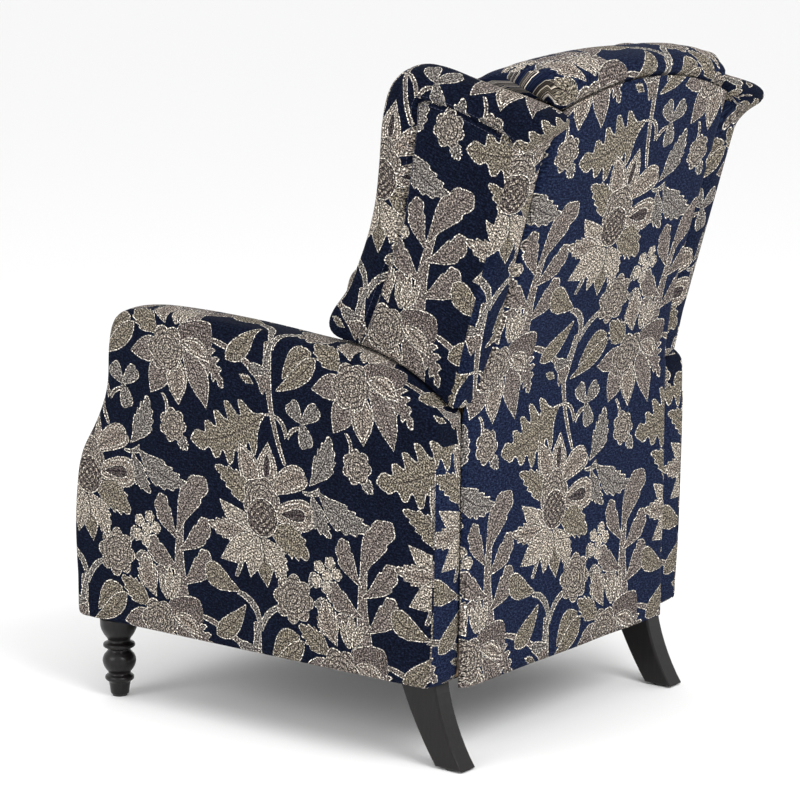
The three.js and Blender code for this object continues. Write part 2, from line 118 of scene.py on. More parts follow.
def make_studio():
    bpy.context.scene.view_settings.view_transform = "Standard"
    world = bpy.data.worlds.new("studio")
    world.use_nodes = True
    world.node_tree.nodes["Background"].inputs["Color"].default_value = (1, 1, 1, 1)
    world.node_tree.nodes["Background"].inputs["Strength"].default_value = 1.0
    bpy.context.scene.world = world
    soft_light("key", (1.0, 3.4, 3.4), 2.6, 130)
    soft_light("fill", (3.6, -1.2, 2.0), 2.2, 45)
    mesh = bpy.data.meshes.new("floor")
    reach = 30
    mesh.from_pydata([(-reach, -reach, 0), (reach, -reach, 0), (reach, reach, 0), (-reach, reach, 0)],
                     [], [(0, 1, 2, 3)])
    floor = bpy.data.objects.new("floor", mesh)
    bpy.context.scene.collection.objects.link(floor)
    material, shader, _ = new_material("studio_floor")
    shader.inputs["Base Color"].default_value = (0.93, 0.93, 0.93, 1)
    shader.inputs["Roughness"].default_value = 0.9
    mesh.materials.append(material)


# ---- Node building ----
class Graph:
    """Adds nodes to a tree and joins them up: each method returns the new node's output."""

    def __init__(self, tree):
        self.tree = tree

    def node(self, kind, **settings):
        made = self.tree.nodes.new(kind)
        for key, value in settings.items():
            setattr(made, key, value)
        return made

    def feed(self, socket, value):
        if isinstance(value, bpy.types.NodeSocket):
            self.tree.links.new(value, socket)
        else:
            socket.default_value = value

    def math(self, operation, *values, clamp=False):
        made = self.node("ShaderNodeMath", operation=operation, use_clamp=clamp)
        for socket, value in zip(made.inputs, values):
            self.feed(socket, value)
        return made.outputs[0]

    def vector(self, operation, *values):
        made = self.node("ShaderNodeVectorMath", operation=operation)
        for socket, value in zip(made.inputs, values):
            self.feed(socket, value)
        return made.outputs["Value" if operation in ("LENGTH", "DOT_PRODUCT") else "Vector"]

    def combine(self, x, y, z=0.0):
        made = self.node("ShaderNodeCombineXYZ")
        for socket, value in zip(made.inputs, (x, y, z)):
            self.feed(socket, value)
        return made.outputs[0]

    def separate(self, vector):
        made = self.node("ShaderNodeSeparateXYZ")
        self.feed(made.inputs[0], vector)
        return made.outputs

    def mix_vector(self, factor, a, b):
        made = self.node("ShaderNodeMix", data_type="VECTOR")
        self.feed(made.inputs[0], factor)
        self.feed(made.inputs[4], a)
        self.feed(made.inputs[5], b)
        return made.outputs[1]

    def mix_colour(self, factor, a, b, blend="MIX"):
        made = self.node("ShaderNodeMix", data_type="RGBA", blend_type=blend)
        self.feed(made.inputs[0], factor)
        self.feed(made.inputs[6], a)
        self.feed(made.inputs[7], b)
        return made.outputs[2]

    def noise(self, vector, scale, detail=2.0, roughness=0.5):
        made = self.node("ShaderNodeTexNoise")
        self.feed(made.inputs["Vector"], vector)
        made.inputs["Scale"].default_value = scale
        made.inputs["Detail"].default_value = detail
        made.inputs["Roughness"].default_value = roughness
        return made.outputs["Fac"]

    def ramp(self, value, stops, interpolation="LINEAR"):
        made = self.node("ShaderNodeValToRGB")
        made.color_ramp.interpolation = interpolation
        elements = made.color_ramp.elements
        while len(elements) < len(stops):
            elements.new(0.5)
        for element, (position, colour) in zip(elements, stops):
            element.position = position
            element.color = (*colour, 1)
        self.feed(made.inputs[0], value)
        return made.outputs[0]

    def curve(self, value, points):
        made = self.node("ShaderNodeFloatCurve")
        made.mapping.extend = "HORIZONTAL"
        line = made.mapping.curves[0]
        while len(line.points) < len(points):
            line.points.new(0.5, 0.5)
        for point, (x, y) in zip(line.points, points):
            point.location = (x, y)
        made.mapping.update()
        self.feed(made.inputs["Value"], value)
        return made.outputs[0]

    def bump(self, height, strength, distance):
        made = self.node("ShaderNodeBump")
        made.inputs["Strength"].default_value = strength
        made.inputs["Distance"].default_value = distance
        self.feed(made.inputs["Height"], height)
        return made.outputs[0]


def new_material(name):
    material = bpy.data.materials.new(name)
    material.use_nodes = True
    graph = Graph(material.node_tree)
    return material, material.node_tree.nodes["Principled BSDF"], graph


# ---- The woven pattern: a repeat of flowers and leaves, drawn as petals about a large flower ----
REPEAT_U = 370.0
REPEAT_V = 446.0
VEIN_PITCH = 4.6

# Half width against length, from base to tip.
PROFILES = {
    "stem": [(0, 0), (0.02, 1), (0.98, 1), (1, 0)],
    "taper": [(0, 0), (0.01, 1), (0.5, 0.72), (0.98, 0.5), (1, 0)],
    "trumpet": [(0, 0), (0.02, 0.3), (0.6, 0.4), (0.85, 0.65), (0.98, 1), (1, 0)],
    "petal": [(0, 0), (0.03, 0.2), (0.2, 0.55), (0.45, 0.95), (0.6, 1), (0.8, 0.72), (0.93, 0.3),
              (1, 0)],
    "round": [(0, 0), (0.03, 0.3), (0.2, 0.62), (0.45, 0.94), (0.65, 1), (0.85, 0.8), (0.96, 0.42),
              (1, 0)],
    "cup": [(0, 0), (0.03, 0.5), (0.15, 0.8), (0.45, 1), (0.8, 0.95), (0.93, 0.8), (0.97, 0.6),
            (1, 0)],
    "toothed": [(0, 0), (0.03, 0.12), (0.15, 0.45), (0.32, 0.9), (0.42, 1), (0.46, 0.84),
                (0.58, 0.92), (0.62, 0.7), (0.74, 0.72), (0.78, 0.48), (0.9, 0.36), (1, 0)],
    "lance": [(0, 0), (0.03, 0.35), (0.2, 0.75), (0.42, 1), (0.62, 0.86), (0.8, 0.5),
              (0.92, 0.2), (1, 0)],
    "acanthus": [(0, 0), (0.03, 0.2), (0.2, 0.48), (0.42, 0.9), (0.54, 1), (0.6, 0.86),
                 (0.72, 0.94), (0.86, 0.62), (0.95, 0.3), (1, 0)],
    "lobed": [(0, 0), (0.02, 0.1), (0.08, 0.2), (0.13, 0.4), (0.18, 0.8), (0.21, 0.86),
              (0.27, 0.44), (0.33, 0.92), (0.37, 1), (0.44, 0.5), (0.5, 0.8), (0.54, 0.84),
              (0.61, 0.4), (0.67, 0.58), (0.71, 0.58), (0.78, 0.26), (0.85, 0.34), (0.91, 0.26),
              (1, 0)],
}

# Tone numbers, each a colour and finish of yarn.
TAUPE, GREY, OLIVE, DARK, STEM, CREAM, PETAL, SCALES, CHECKS, CUP = [0.05 + 0.1 * i for i in range(10)]

# Stems: profile, base, tip, half width, sideways bend, tone. Leaves and petals are the same.
STEMS = [
    ("taper", (-4, 266), (42, 78), 8, -12, STEM),
    ("taper", (42, 124), (-6, 150), 5, -14, STEM),
    ("stem", (44, 122), (68, 142), 3, 4, STEM),
    ("stem", (156, 150), (166, 116), 2.6, 6, STEM),
    ("taper", (112, 52), (78, 44), 6, 4, GREY),
    ("stem", (-44, -141), (2, -186), 5, 12, GREY),
    ("stem", (44, -146), (4, -192), 4.5, -8, GREY),
    ("stem", (4, -180), (-4, -252), 5, -6, GREY),
    ("taper", (-38, -72), (-49, -116), 8, 3, GREY),
    ("trumpet", (-118, -196), (0, -252), 17, 10, STEM),
    ("stem", (150, -62), (108, -100), 2.6, 6, GREY),
    ("taper", (-158, -176), (-166, -36), 14, 6, TAUPE),
]
LEAVES = [
    ("toothed", (90, 55), (126, 140), 23, -10, GREY),
    ("toothed", (107, 52), (216, 10), 25, -14, GREY),
    ("toothed", (96, 46), (138, -18), 18, -8, GREY),
    ("toothed", (188, 92), (214, 66), 12, 0, GREY),
    ("lobed", (-3, 152), (-152, 86), 57, 14, OLIVE),
    ("petal", (6, 222), (-44, 221), 11, 4, GREY),
    ("petal", (28, 212), (82, 262), 20, 8, OLIVE),
    ("round", (70, 150), (46, 178), 15, 0, GREY),
    ("round", (70, 150), (100, 178), 15, 0, GREY),
    ("round", (70, 152), (84, 114), 15, 0, GREY),
    ("acanthus", (-160, -164), (-218, -136), 15, 0, TAUPE),
    ("acanthus", (-164, -130), (-236, -88), 19, 8, TAUPE),
    ("acanthus", (-160, -152), (-106, -88), 21, -8, TAUPE),
    ("acanthus", (-170, -98), (-109, -36), 19, -8, TAUPE),
    ("acanthus", (-170, -82), (-214, -12), 18, 8, TAUPE),
    ("acanthus", (-172, -70), (-118, 30), 25, 10, TAUPE),
    ("petal", (-40, -138), (-114, -108), 21, 6, OLIVE),
    ("petal", (-28, -158), (-88, -222), 19, 6, OLIVE),
    ("petal", (16, -255), (92, -190), 17, -6, OLIVE),
    ("petal", (98, -106), (110, -76), 9, 0, GREY),
    ("toothed", (104, -128), (142, -122), 13, 0, GREY),
    ("toothed", (-26, -251), (-58, -240), 7, 0, OLIVE),
]
PEONY = [
    ("toothed", (-213, -186), (-241, -116), 24, 6, PETAL),
    ("toothed", (-222, -205), (-290, -166), 21, 0, OLIVE),
    ("lance", (-214, -222), (-286, -240), 22, 0, TAUPE),
    ("lance", (-204, -232), (-238, -302), 25, 0, TAUPE),
    ("lance", (-188, -234), (-178, -312), 23, 0, PETAL),
    ("lobed", (-168, -212), (-88, -270), 26, 12, TAUPE),
    ("lance", (-170, -224), (-120, -310), 22, 8, TAUPE),
    ("lance", (-190, -184), (-208, -136), 10, 0, CREAM),
    ("lance", (-188, -180), (-187, -122), 10, 0, CREAM),
    ("lance", (-184, -182), (-164, -132), 10, 0, CREAM),
    ("cup", (-188, -202), (-116, -190), 27, 0, CUP),
    ("lance", (-178, -208), (-116, -236), 15, 8, PETAL),
]
FLOWER_BACK = [
    ("lance", (4, 18), (6, 112), 24, 0, PETAL),
    ("lance", (5, 46), (6, 98), 9, 0, DARK),
    ("lance", (-14, 18), (-56, 102), 23, -6, PETAL),
    ("round", (10, 26), (82, 70), 23, 6, PETAL),
    ("round", (12, -2), (101, 9), 27, 0, PETAL),
    ("round", (36, 1), (86, 7), 12, 0, DARK),
    ("toothed", (8, -26), (96, -58), 29, 8, OLIVE),
    ("toothed", (-14, -8), (-100, 54), 22, -10, OLIVE),
]
FLOWER_FRONT = [
    ("lance", (-14, -34), (-90, 4), 17, 6, CREAM),
    ("toothed", (-16, -38), (-112, -40), 20, 4, PETAL),
    ("lance", (0, -46), (16, -124), 20, 0, OLIVE),
    ("lance", (-12, -40), (-84, -94), 23, 6, CREAM),
    ("lance", (-8, -44), (-20, -114), 19, 0, CREAM),
    ("toothed", (-2, -40), (50, -108), 22, 8, CREAM),
    ("lance", (-20, -36), (-48, -4), 9, 0, CREAM),
]
# Round flowers: centre, radius, petals, tone.
BERRIES = [(116, -66), (137, -56), (151, -72), (132, -77), (113, -89), (132, -97)]
ROSETTES_BACK = [
    ((181, 102), 28, 7, SCALES),
    ((68, -128), 40, 8, SCALES),
    *((place, 10, 5, CREAM) for place in BERRIES),
]
PEONY_HEAD = ((-208, -224), 38, 6, SCALES)
FLOWER_SCALES = ((-4, 16), 38, 5, SCALES)
FLOWER_DOME = ((0, -12), 31, 0, CHECKS)


class Weave:
    """Layers motifs: the running value packs distance in from the edge, hatch position and tone."""

    def __init__(self, graph, uv, layers):
        self.graph = graph
        self.uv = uv
        self.layers = layers

    def local(self, at, angle=0.0):
        """Coordinates along and across a motif, and the vector to it from its base.

        Dot products keep every value in one kind of socket, which keeps the shader small.
        """
        graph = self.graph
        offset = graph.vector("SUBTRACT", self.uv, (*at, 0))
        half = (REPEAT_U / 2, REPEAT_V / 2, 1)
        near = graph.vector("WRAP", offset, half, tuple(-x for x in half))
        along = (math.cos(angle), math.sin(angle), 0)
        x = graph.vector("DOT_PRODUCT", near, along)
        y = graph.vector("DOT_PRODUCT", near, (-along[1], along[0], 0))
        return x, y, near

    def lay(self, distance, hatch, tone):
        graph = self.graph
        covers = graph.math("GREATER_THAN", distance, -1.0)
        self.layers = graph.mix_vector(covers, self.layers, graph.combine(distance, hatch, tone))

    def leaf(self, profile, base, tip, half_width, bend, tone):
        graph = self.graph
        run = Vector(tip) - Vector(base)
        length = run.length
        x, y, _ = self.local(base, math.atan2(run.y, run.x))
        along = graph.math("MULTIPLY", x, 1 / length)
        bow = graph.math("MULTIPLY", along, graph.math("SUBTRACT", 1.0, along))
        side = graph.math("ABSOLUTE", graph.math("MULTIPLY_ADD", bow, -4.0 * bend, y))
        plain = profile in ("stem", "taper", "trumpet", "cup")
        sweep = 0.0 if plain or profile == "lance" else 0.45 * min(1, 26 / half_width)
        reach = graph.math("MULTIPLY_ADD", side, -sweep / length, along)
        width = graph.curve(reach, PROFILES[profile])
        inside = graph.math("MULTIPLY_ADD", width, half_width * 0.92 + 1.6, -2.0)
        distance = graph.math("SUBTRACT", inside, side)
        if profile == "lobed":
            distance = self.even_out(distance, reach, width, half_width / length)
        veins = reach if plain else graph.math("MULTIPLY_ADD", side, -0.8 / length, along)
        hatch = graph.math("MULTIPLY", veins, length / VEIN_PITCH)
        if not plain:
            off_rib = graph.math("GREATER_THAN", side, 0.8)
            hatch = graph.math("MULTIPLY", hatch, off_rib)
        self.lay(distance, hatch, tone)

    def even_out(self, distance, reach, width, steepness):
        """Divides out the edge's slope, so that a deeply lobed outline keeps one thickness."""
        graph = self.graph
        step = 0.012
        further = graph.curve(graph.math("ADD", reach, step), PROFILES["lobed"])
        slope = graph.math("MULTIPLY", graph.math("SUBTRACT", further, width), steepness / step)
        length = graph.math("SQRT", graph.math("MULTIPLY_ADD", slope, slope, 1.0))
        return graph.math("DIVIDE", distance, length)

    def rosette(self, centre, radius, petals, tone):
        graph = self.graph
        x, y, near = self.local(centre)
        turn = graph.math("MULTIPLY", graph.math("ARCTAN2", y, x), petals / 2)
        scallop = graph.math("ABSOLUTE", graph.math("COSINE", turn))
        edge = graph.math("MULTIPLY_ADD", scallop, radius * 0.2, radius * 0.8)
        away = graph.vector("LENGTH", near)
        self.lay(graph.math("SUBTRACT", edge, away), graph.math("MULTIPLY", away, 1 / 8), tone)


# Groups of motifs, each lying over the one before.
PATTERN = {
    "stems": STEMS,
    "leaves": LEAVES,
    "small_flowers": [*ROSETTES_BACK, *PEONY, PEONY_HEAD],
    "large_flower": [*FLOWER_BACK, FLOWER_SCALES, *FLOWER_FRONT, FLOWER_DOME],
}


def motif_group(name, motifs):
    """A node group that lays some motifs over the layers it is given."""
    tree = bpy.data.node_groups.new(name, "ShaderNodeTree")
    tree.interface.new_socket("Coordinates", in_out="INPUT", socket_type="NodeSocketVector")
    tree.interface.new_socket("Under", in_out="INPUT", socket_type="NodeSocketVector")
    tree.interface.new_socket("Layers", in_out="OUTPUT", socket_type="NodeSocketVector")
    graph = Graph(tree)
    uv, under = graph.node("NodeGroupInput").outputs[:2]
    weave = Weave(graph, uv, under)
    for motif in motifs:
        draw = weave.leaf if isinstance(motif[0], str) else weave.rosette
        draw(*motif)
    graph.feed(graph.node("NodeGroupOutput").inputs[0], weave.layers)
    return tree


YARNS = {
    TAUPE: (0.175, 0.145, 0.130),
    GREY: (0.185, 0.171, 0.158),
    OLIVE: (0.186, 0.160, 0.118),
    DARK: (0.024, 0.015, 0.019),
    STEM: (0.165, 0.136, 0.120),
    CREAM: (0.400, 0.352, 0.292),
    PETAL: (0.245, 0.204, 0.170),
    SCALES: (0.275, 0.240, 0.203),
    CHECKS: (0.300, 0.260, 0.215),
    CUP: (0.150, 0.122, 0.110),
}
OUTLINE = (0.560, 0.520, 0.455, 1)
SHADOW_YARN = (0.026, 0.019, 0.023, 1)
NAVY_DARK = (0.0004, 0.0008, 0.0034)
NAVY = (0.0022, 0.0038, 0.0115)
NAVY_LIGHT = (0.0095, 0.0145, 0.0310)

# How much the speckle in the yarn darkens or lightens the cloth, as a share of YARN_PEAK.
SPECKLE = [(0, 0.03), (0.38, 0.05), (0.46, 0.15), (0.51, 0.29), (0.58, 0.52), (0.68, 1), (1, 1)]
YARN_PEAK = 2.5


def band(graph, value, centre, half_width):
    """1 where value is within half_width of centre, with soft edges."""
    off = graph.math("ABSOLUTE", graph.math("SUBTRACT", value, centre))
    return graph.math("MULTIPLY_ADD", off, -1 / (half_width * 0.5), 3.0, clamp=True)


def make_jacquard():
    """Woven chenille upholstery: navy ground, beige flowers with cream outlines and hatched veins."""
    material, shader, graph = new_material("jacquard_chenille")
    attribute = graph.node("ShaderNodeAttribute", attribute_name="weave")
    u, v, painted_sheen = graph.separate(attribute.outputs["Vector"])
    uv = graph.combine(u, v)
    wobble = graph.node("ShaderNodeTexNoise")
    graph.feed(wobble.inputs["Vector"], uv)
    wobble.inputs["Scale"].default_value = 0.22
    shift = graph.vector("SUBTRACT", wobble.outputs["Color"], (0.5, 0.5, 0.5))
    hand = graph.vector("MULTIPLY_ADD", shift, (3.0, 3.0, 0.0), uv)
    layers = graph.combine(-100.0, 0.0, 0.0)
    for name, motifs in PATTERN.items():
        group = graph.node("ShaderNodeGroup", node_tree=motif_group(name, motifs))
        graph.feed(group.inputs[0], hand)
        graph.feed(group.inputs[1], layers)
        layers = group.outputs[0]
    inside, hatch, tone = graph.separate(layers)

    motif = graph.math("MULTIPLY_ADD", inside, 1.5, 1.4, clamp=True)
    outline = band(graph, inside, 0.2, 0.65)
    is_smooth = graph.math("COMPARE", tone, 0.65, 0.06)
    rim = graph.math("MULTIPLY", band(graph, inside, 5.6, 0.6), is_smooth)

    colour = graph.ramp(tone, [(0.1 * i, YARNS[key]) for i, key in enumerate(YARNS)], "CONSTANT")
    beat = graph.math("PINGPONG", hatch, 0.5)
    vein = graph.math("MULTIPLY", graph.math("LESS_THAN", beat, 0.15), 0.8)
    vein = graph.math("MULTIPLY", vein, graph.math("GREATER_THAN", inside, 2.6))
    colour = graph.mix_colour(vein, colour, SHADOW_YARN)
    twin = graph.math("MULTIPLY", graph.math("COMPARE", beat, 0.24, 0.08), 0.25)
    colour = graph.mix_colour(twin, colour, OUTLINE)

    checker = graph.node("ShaderNodeTexChecker")
    graph.feed(checker.inputs["Vector"], graph.vector("ADD", hand, (500, 500, 0.5)))
    checker.inputs["Scale"].default_value = 1 / 6.5
    is_checks = graph.math("COMPARE", tone, CHECKS, 0.04)
    dark_check = graph.math("MULTIPLY", is_checks, checker.outputs["Fac"])
    colour = graph.mix_colour(graph.math("MULTIPLY", dark_check, 0.8), colour, SHADOW_YARN)
    cell = graph.vector("WRAP", hand, (4.2, 3.8, 1), (-4.2, -3.8, -1))
    ring = band(graph, graph.vector("LENGTH", cell), 2.5, 0.45)
    is_scaled = graph.math("COMPARE", tone, 0.85, 0.17)
    scale = graph.math("MULTIPLY", ring, is_scaled)
    colour = graph.mix_colour(graph.math("MULTIPLY", scale, 0.75), colour, SHADOW_YARN)

    inner = graph.math("MULTIPLY", band(graph, inside, 2.1, 0.45), 0.75)
    colour = graph.mix_colour(inner, colour, SHADOW_YARN)
    colour = graph.mix_colour(graph.math("MAXIMUM", outline, rim), colour, OUTLINE)

    rows = graph.vector("MULTIPLY", uv, (0.13, 0.5, 1))
    slub = graph.noise(rows, 1.0, 3.0, 0.65)
    fleck = graph.noise(uv, 0.36, 1.5, 0.6)
    pile = graph.math("MULTIPLY", graph.math("ADD", slub, graph.noise(uv, 0.3, 2.0, 0.6)), 0.5)
    ground = graph.ramp(pile, [(0.38, NAVY_DARK), (0.5, NAVY), (0.62, NAVY_LIGHT)])
    patch = graph.noise(uv, 0.02, 2.0)
    # Painted sheen: the navy ground is painted lighter where the panel's sheen value is set, standing in
    # for light catching the pile of rear-facing cloth; the patch noise adds random patchiness.
    painted_sheen_and_patches = graph.math("MULTIPLY_ADD", painted_sheen, 1.7, graph.math("MULTIPLY_ADD", patch, 0.7, 0.65))
    ground = graph.mix_colour(1.0, ground, graph.combine(painted_sheen_and_patches, painted_sheen_and_patches, painted_sheen_and_patches), "MULTIPLY")
    twill = graph.math("SINE", graph.math("MULTIPLY", graph.math("ADD", u, v), 2.4))
    speckle = graph.math("MULTIPLY", graph.curve(fleck, SPECKLE), YARN_PEAK)
    grain = graph.math("MULTIPLY_ADD", twill, 0.1, speckle)
    colour = graph.mix_colour(1.0, colour, graph.combine(grain, grain, grain), "MULTIPLY")
    colour = graph.mix_colour(motif, ground, colour)
    graph.feed(shader.inputs["Base Color"], colour)

    relief = graph.math("MULTIPLY_ADD", fleck, 0.3, graph.math("MULTIPLY", slub, 0.7))
    graph.feed(shader.inputs["Normal"], graph.bump(relief, 0.55, 0.0012))
    rough = graph.math("MULTIPLY_ADD", fleck, 0.25, 0.68)
    graph.feed(shader.inputs["Roughness"], rough)
    shader.inputs["Specular IOR Level"].default_value = 0.04
    shader.inputs["Sheen Weight"].default_value = 0.015
    shader.inputs["Sheen Roughness"].default_value = 0.45
    shader.inputs["Sheen Tint"].default_value = (0.55, 0.62, 0.85, 1)
    return material


def make_lacquer():
    """Black satin lacquer over turned and sawn wood: faint grain, soft coat."""
    material, shader, graph = new_material("black_satin_lacquer")
    place = graph.node("ShaderNodeTexCoord").outputs["Object"]
    grain = graph.noise(graph.vector("MULTIPLY", place, (260, 260, 22)), 1.0, 4.0, 0.6)
    graph.feed(shader.inputs["Base Color"],
               graph.ramp(grain, [(0.3, (0.0035, 0.003, 0.003)), (0.8, (0.010, 0.008, 0.008))]))
    rub = graph.noise(place, 45.0, 3.0)
    graph.feed(shader.inputs["Roughness"], graph.math("MULTIPLY_ADD", rub, 0.2, 0.24))
    graph.feed(shader.inputs["Normal"], graph.bump(grain, 0.12, 0.0008))
    shader.inputs["Coat Weight"].default_value = 0.12
    shader.inputs["Coat Roughness"].default_value = 0.16
    shader.inputs["Specular IOR Level"].default_value = 0.22
    return material


def make_timber():
    """Plain sawn frame timber with growth rings and pores."""
    material, shader, graph = new_material("sawn_timber")
    place = graph.node("ShaderNodeTexCoord").outputs["Object"]
    rings = graph.node("ShaderNodeTexWave", wave_type="RINGS")
    graph.feed(rings.inputs["Vector"], graph.vector("MULTIPLY", place, (9, 1.2, 9)))
    rings.inputs["Scale"].default_value = 3.0
    rings.inputs["Distortion"].default_value = 5.0
    pores = graph.noise(graph.vector("MULTIPLY", place, (500, 30, 500)), 1.0, 3.0)
    light = graph.ramp(rings.outputs["Fac"], [(0.2, (0.36, 0.22, 0.11)), (0.8, (0.56, 0.38, 0.21))])
    graph.feed(shader.inputs["Base Color"],
               graph.mix_colour(graph.math("MULTIPLY", pores, 0.35), light, (0.24, 0.14, 0.07, 1)))
    graph.feed(shader.inputs["Roughness"], graph.math("MULTIPLY_ADD", pores, 0.25, 0.55))
    graph.feed(shader.inputs["Normal"], graph.bump(pores, 0.3, 0.0006))
    return material


def make_metal(name, base, bright, low, high):
    """Rolled or plated steel with fine draw lines and uneven polish."""
    material, shader, graph = new_material(name)
    place = graph.node("ShaderNodeTexCoord").outputs["Object"]
    lines = graph.noise(graph.vector("MULTIPLY", place, (40, 900, 900)), 1.0, 3.0)
    graph.feed(shader.inputs["Base Color"], graph.ramp(lines, [(0.3, base), (0.75, bright)]))
    smudge = graph.noise(place, 30.0, 3.0)
    graph.feed(shader.inputs["Roughness"], graph.math("MULTIPLY_ADD", smudge, high - low, low))
    graph.feed(shader.inputs["Normal"], graph.bump(lines, 0.15, 0.0003))
    shader.inputs["Metallic"].default_value = 0.9
    return material


def make_lining():
    """Black non-woven dust cloth, with its pressed dot pattern."""
    material, shader, graph = new_material("nonwoven_lining")
    place = graph.node("ShaderNodeTexCoord").outputs["Object"]
    dots = graph.node("ShaderNodeTexVoronoi")
    graph.feed(dots.inputs["Vector"], place)
    dots.inputs["Scale"].default_value = 420.0
    dots.inputs["Randomness"].default_value = 0.3
    fibre = graph.noise(place, 900.0, 3.0)
    graph.feed(shader.inputs["Base Color"],
               graph.ramp(fibre, [(0.3, (0.004, 0.004, 0.005)), (0.8, (0.017, 0.017, 0.019))]))
    graph.feed(shader.inputs["Normal"], graph.bump(dots.outputs["Distance"], 0.4, 0.0005))
    graph.feed(shader.inputs["Roughness"], graph.math("MULTIPLY_ADD", fibre, 0.2, 0.75))
    return material


def make_nylon():
    """Moulded black nylon with a fine spark-eroded texture."""
    material, shader, graph = new_material("moulded_nylon")
    place = graph.node("ShaderNodeTexCoord").outputs["Object"]
    grain = graph.noise(place, 700.0, 2.0)
    graph.feed(shader.inputs["Base Color"],
               graph.ramp(grain, [(0.3, (0.008, 0.008, 0.009)), (0.8, (0.022, 0.022, 0.024))]))
    graph.feed(shader.inputs["Roughness"], graph.math("MULTIPLY_ADD", grain, 0.3, 0.35))
    graph.feed(shader.inputs["Normal"], graph.bump(grain, 0.2, 0.0003))
    return material


def make_thread():
    """Twisted navy sewing thread for stitches."""
    material, shader, graph = new_material("sewing_thread")
    place = graph.node("ShaderNodeTexCoord").outputs["Object"]
    twist = graph.noise(place, 1400.0, 1.0)
    graph.feed(shader.inputs["Base Color"],
               graph.ramp(twist, [(0.3, (0.008, 0.010, 0.025)), (0.8, (0.035, 0.045, 0.09))]))
    graph.feed(shader.inputs["Roughness"], graph.math("MULTIPLY_ADD", twist, 0.3, 0.5))
    return material


# ---- Shape helpers ----
def back_rear(z):
    return KINK[0] + (z - KINK[1]) * BACK_SLOPE


def spline(points, spacing=0.006):
    """An open curve through the points, as evenly spaced points."""
    pts = np.array(points, float)
    ends = np.vstack([2 * pts[0] - pts[1], pts, 2 * pts[-1] - pts[-2]])
    fine = []
    for i in range(1, len(ends) - 2):
        p0, p1, p2, p3 = ends[i - 1:i + 3]
        for t in np.linspace(0, 1, 24, endpoint=False):
            fine.append(0.5 * (2 * p1 + (p2 - p0) * t + (2 * p0 - 5 * p1 + 4 * p2 - p3) * t ** 2
                               + (3 * p1 - p0 - 3 * p2 + p3) * t ** 3))
    fine.append(pts[-1])
    return resample(np.array(fine), spacing)


def resample(points, spacing, closed=False):
    pts = np.vstack([points, points[:1]]) if closed else points
    steps = np.linalg.norm(np.diff(pts, axis=0), axis=1)
    along = np.concatenate([[0], np.cumsum(steps)])
    count = max(3, int(round(along[-1] / spacing)))
    places = np.linspace(0, along[-1], count, endpoint=not closed)
    return np.stack([np.interp(places, along, pts[:, k]) for k in range(pts.shape[1])], axis=1)


def soften(loop, rounds):
    for _ in range(rounds):
        loop = (np.roll(loop, 1, axis=0) + 2 * loop + np.roll(loop, -1, axis=0)) / 4
    return loop


def arc(radius, start, stop, spacing=0.006):
    count = max(3, int(abs(math.radians(stop - start)) * radius / spacing))
    angles = np.radians(np.linspace(start, stop, count))
    return np.stack([PIVOT[0] + radius * np.cos(angles), PIVOT[1] + radius * np.sin(angles)], axis=1)


def distance_to(points, line):
    """Each point's distance to a line of points."""
    starts, ends = line[:-1], line[1:]
    best = np.full(len(points), 1e9)
    for a, b in zip(starts, ends):
        run = b - a
        t = np.clip(((points - a) @ run) / max(run @ run, 1e-12), 0, 1)
        best = np.minimum(best, np.linalg.norm(points - a - t[:, None] * run, axis=1))
    return best


def inside_loop(points, loop):
    """True for each point inside a closed outline."""
    inside = np.zeros(len(points), bool)
    x, y = points[:, 0], points[:, 1]
    for a, b in zip(loop, np.roll(loop, -1, axis=0)):
        crosses = (a[1] > y) != (b[1] > y)
        with np.errstate(divide="ignore", invalid="ignore"):
            at = (b[0] - a[0]) * (y - a[1]) / (b[1] - a[1]) + a[0]
        inside ^= crosses & (x < at)
    return inside


def new_object(name, verts, faces, materials, smooth=True):
    mesh = bpy.data.meshes.new(name)
    mesh.from_pydata([tuple(v) for v in verts], [], faces)
    if smooth:
        mesh.shade_smooth()
    for material in materials:
        mesh.materials.append(material)
    obj = bpy.data.objects.new(name, mesh)
    bpy.context.scene.collection.objects.link(obj)
    return obj


class Panel:
    """Where the pattern lies on a flat piece of cloth: a cloth point in metres and what it shows.

    Its sheen value is painted light: how much lighter the navy ground is painted, standing in for light
    catching the pile of rear-facing cloth, from 0 to 1.
    """

    def __init__(self, at, shows=(0, 0), degrees=0.0, flip=1, painted_sheen=0.0):
        self.at = np.array(at, float)
        self.painted_sheen = painted_sheen
        self.shows = np.array(shows, float)
        self.angle = math.radians(degrees)
        self.flip = flip

    def weave(self, points):
        off = (points - self.at) * 1000
        across, up = off[:, 0] * self.flip, off[:, 1]
        cos, sin = math.cos(self.angle), math.sin(self.angle)
        place = np.stack([across * cos - up * sin, across * sin + up * cos], axis=1) + self.shows
        return np.column_stack([place, np.full(len(place), self.painted_sheen)])


def set_weave(obj, corner_uv):
    """Stores the pattern coordinates, and the painted sheen if given, one for each face corner."""
    layer = obj.data.attributes.new("weave", "FLOAT_VECTOR", "CORNER")
    full = np.zeros((len(corner_uv), 3), np.float32)
    full[:, :corner_uv.shape[1]] = corner_uv
    layer.data.foreach_set("vector", full.ravel())


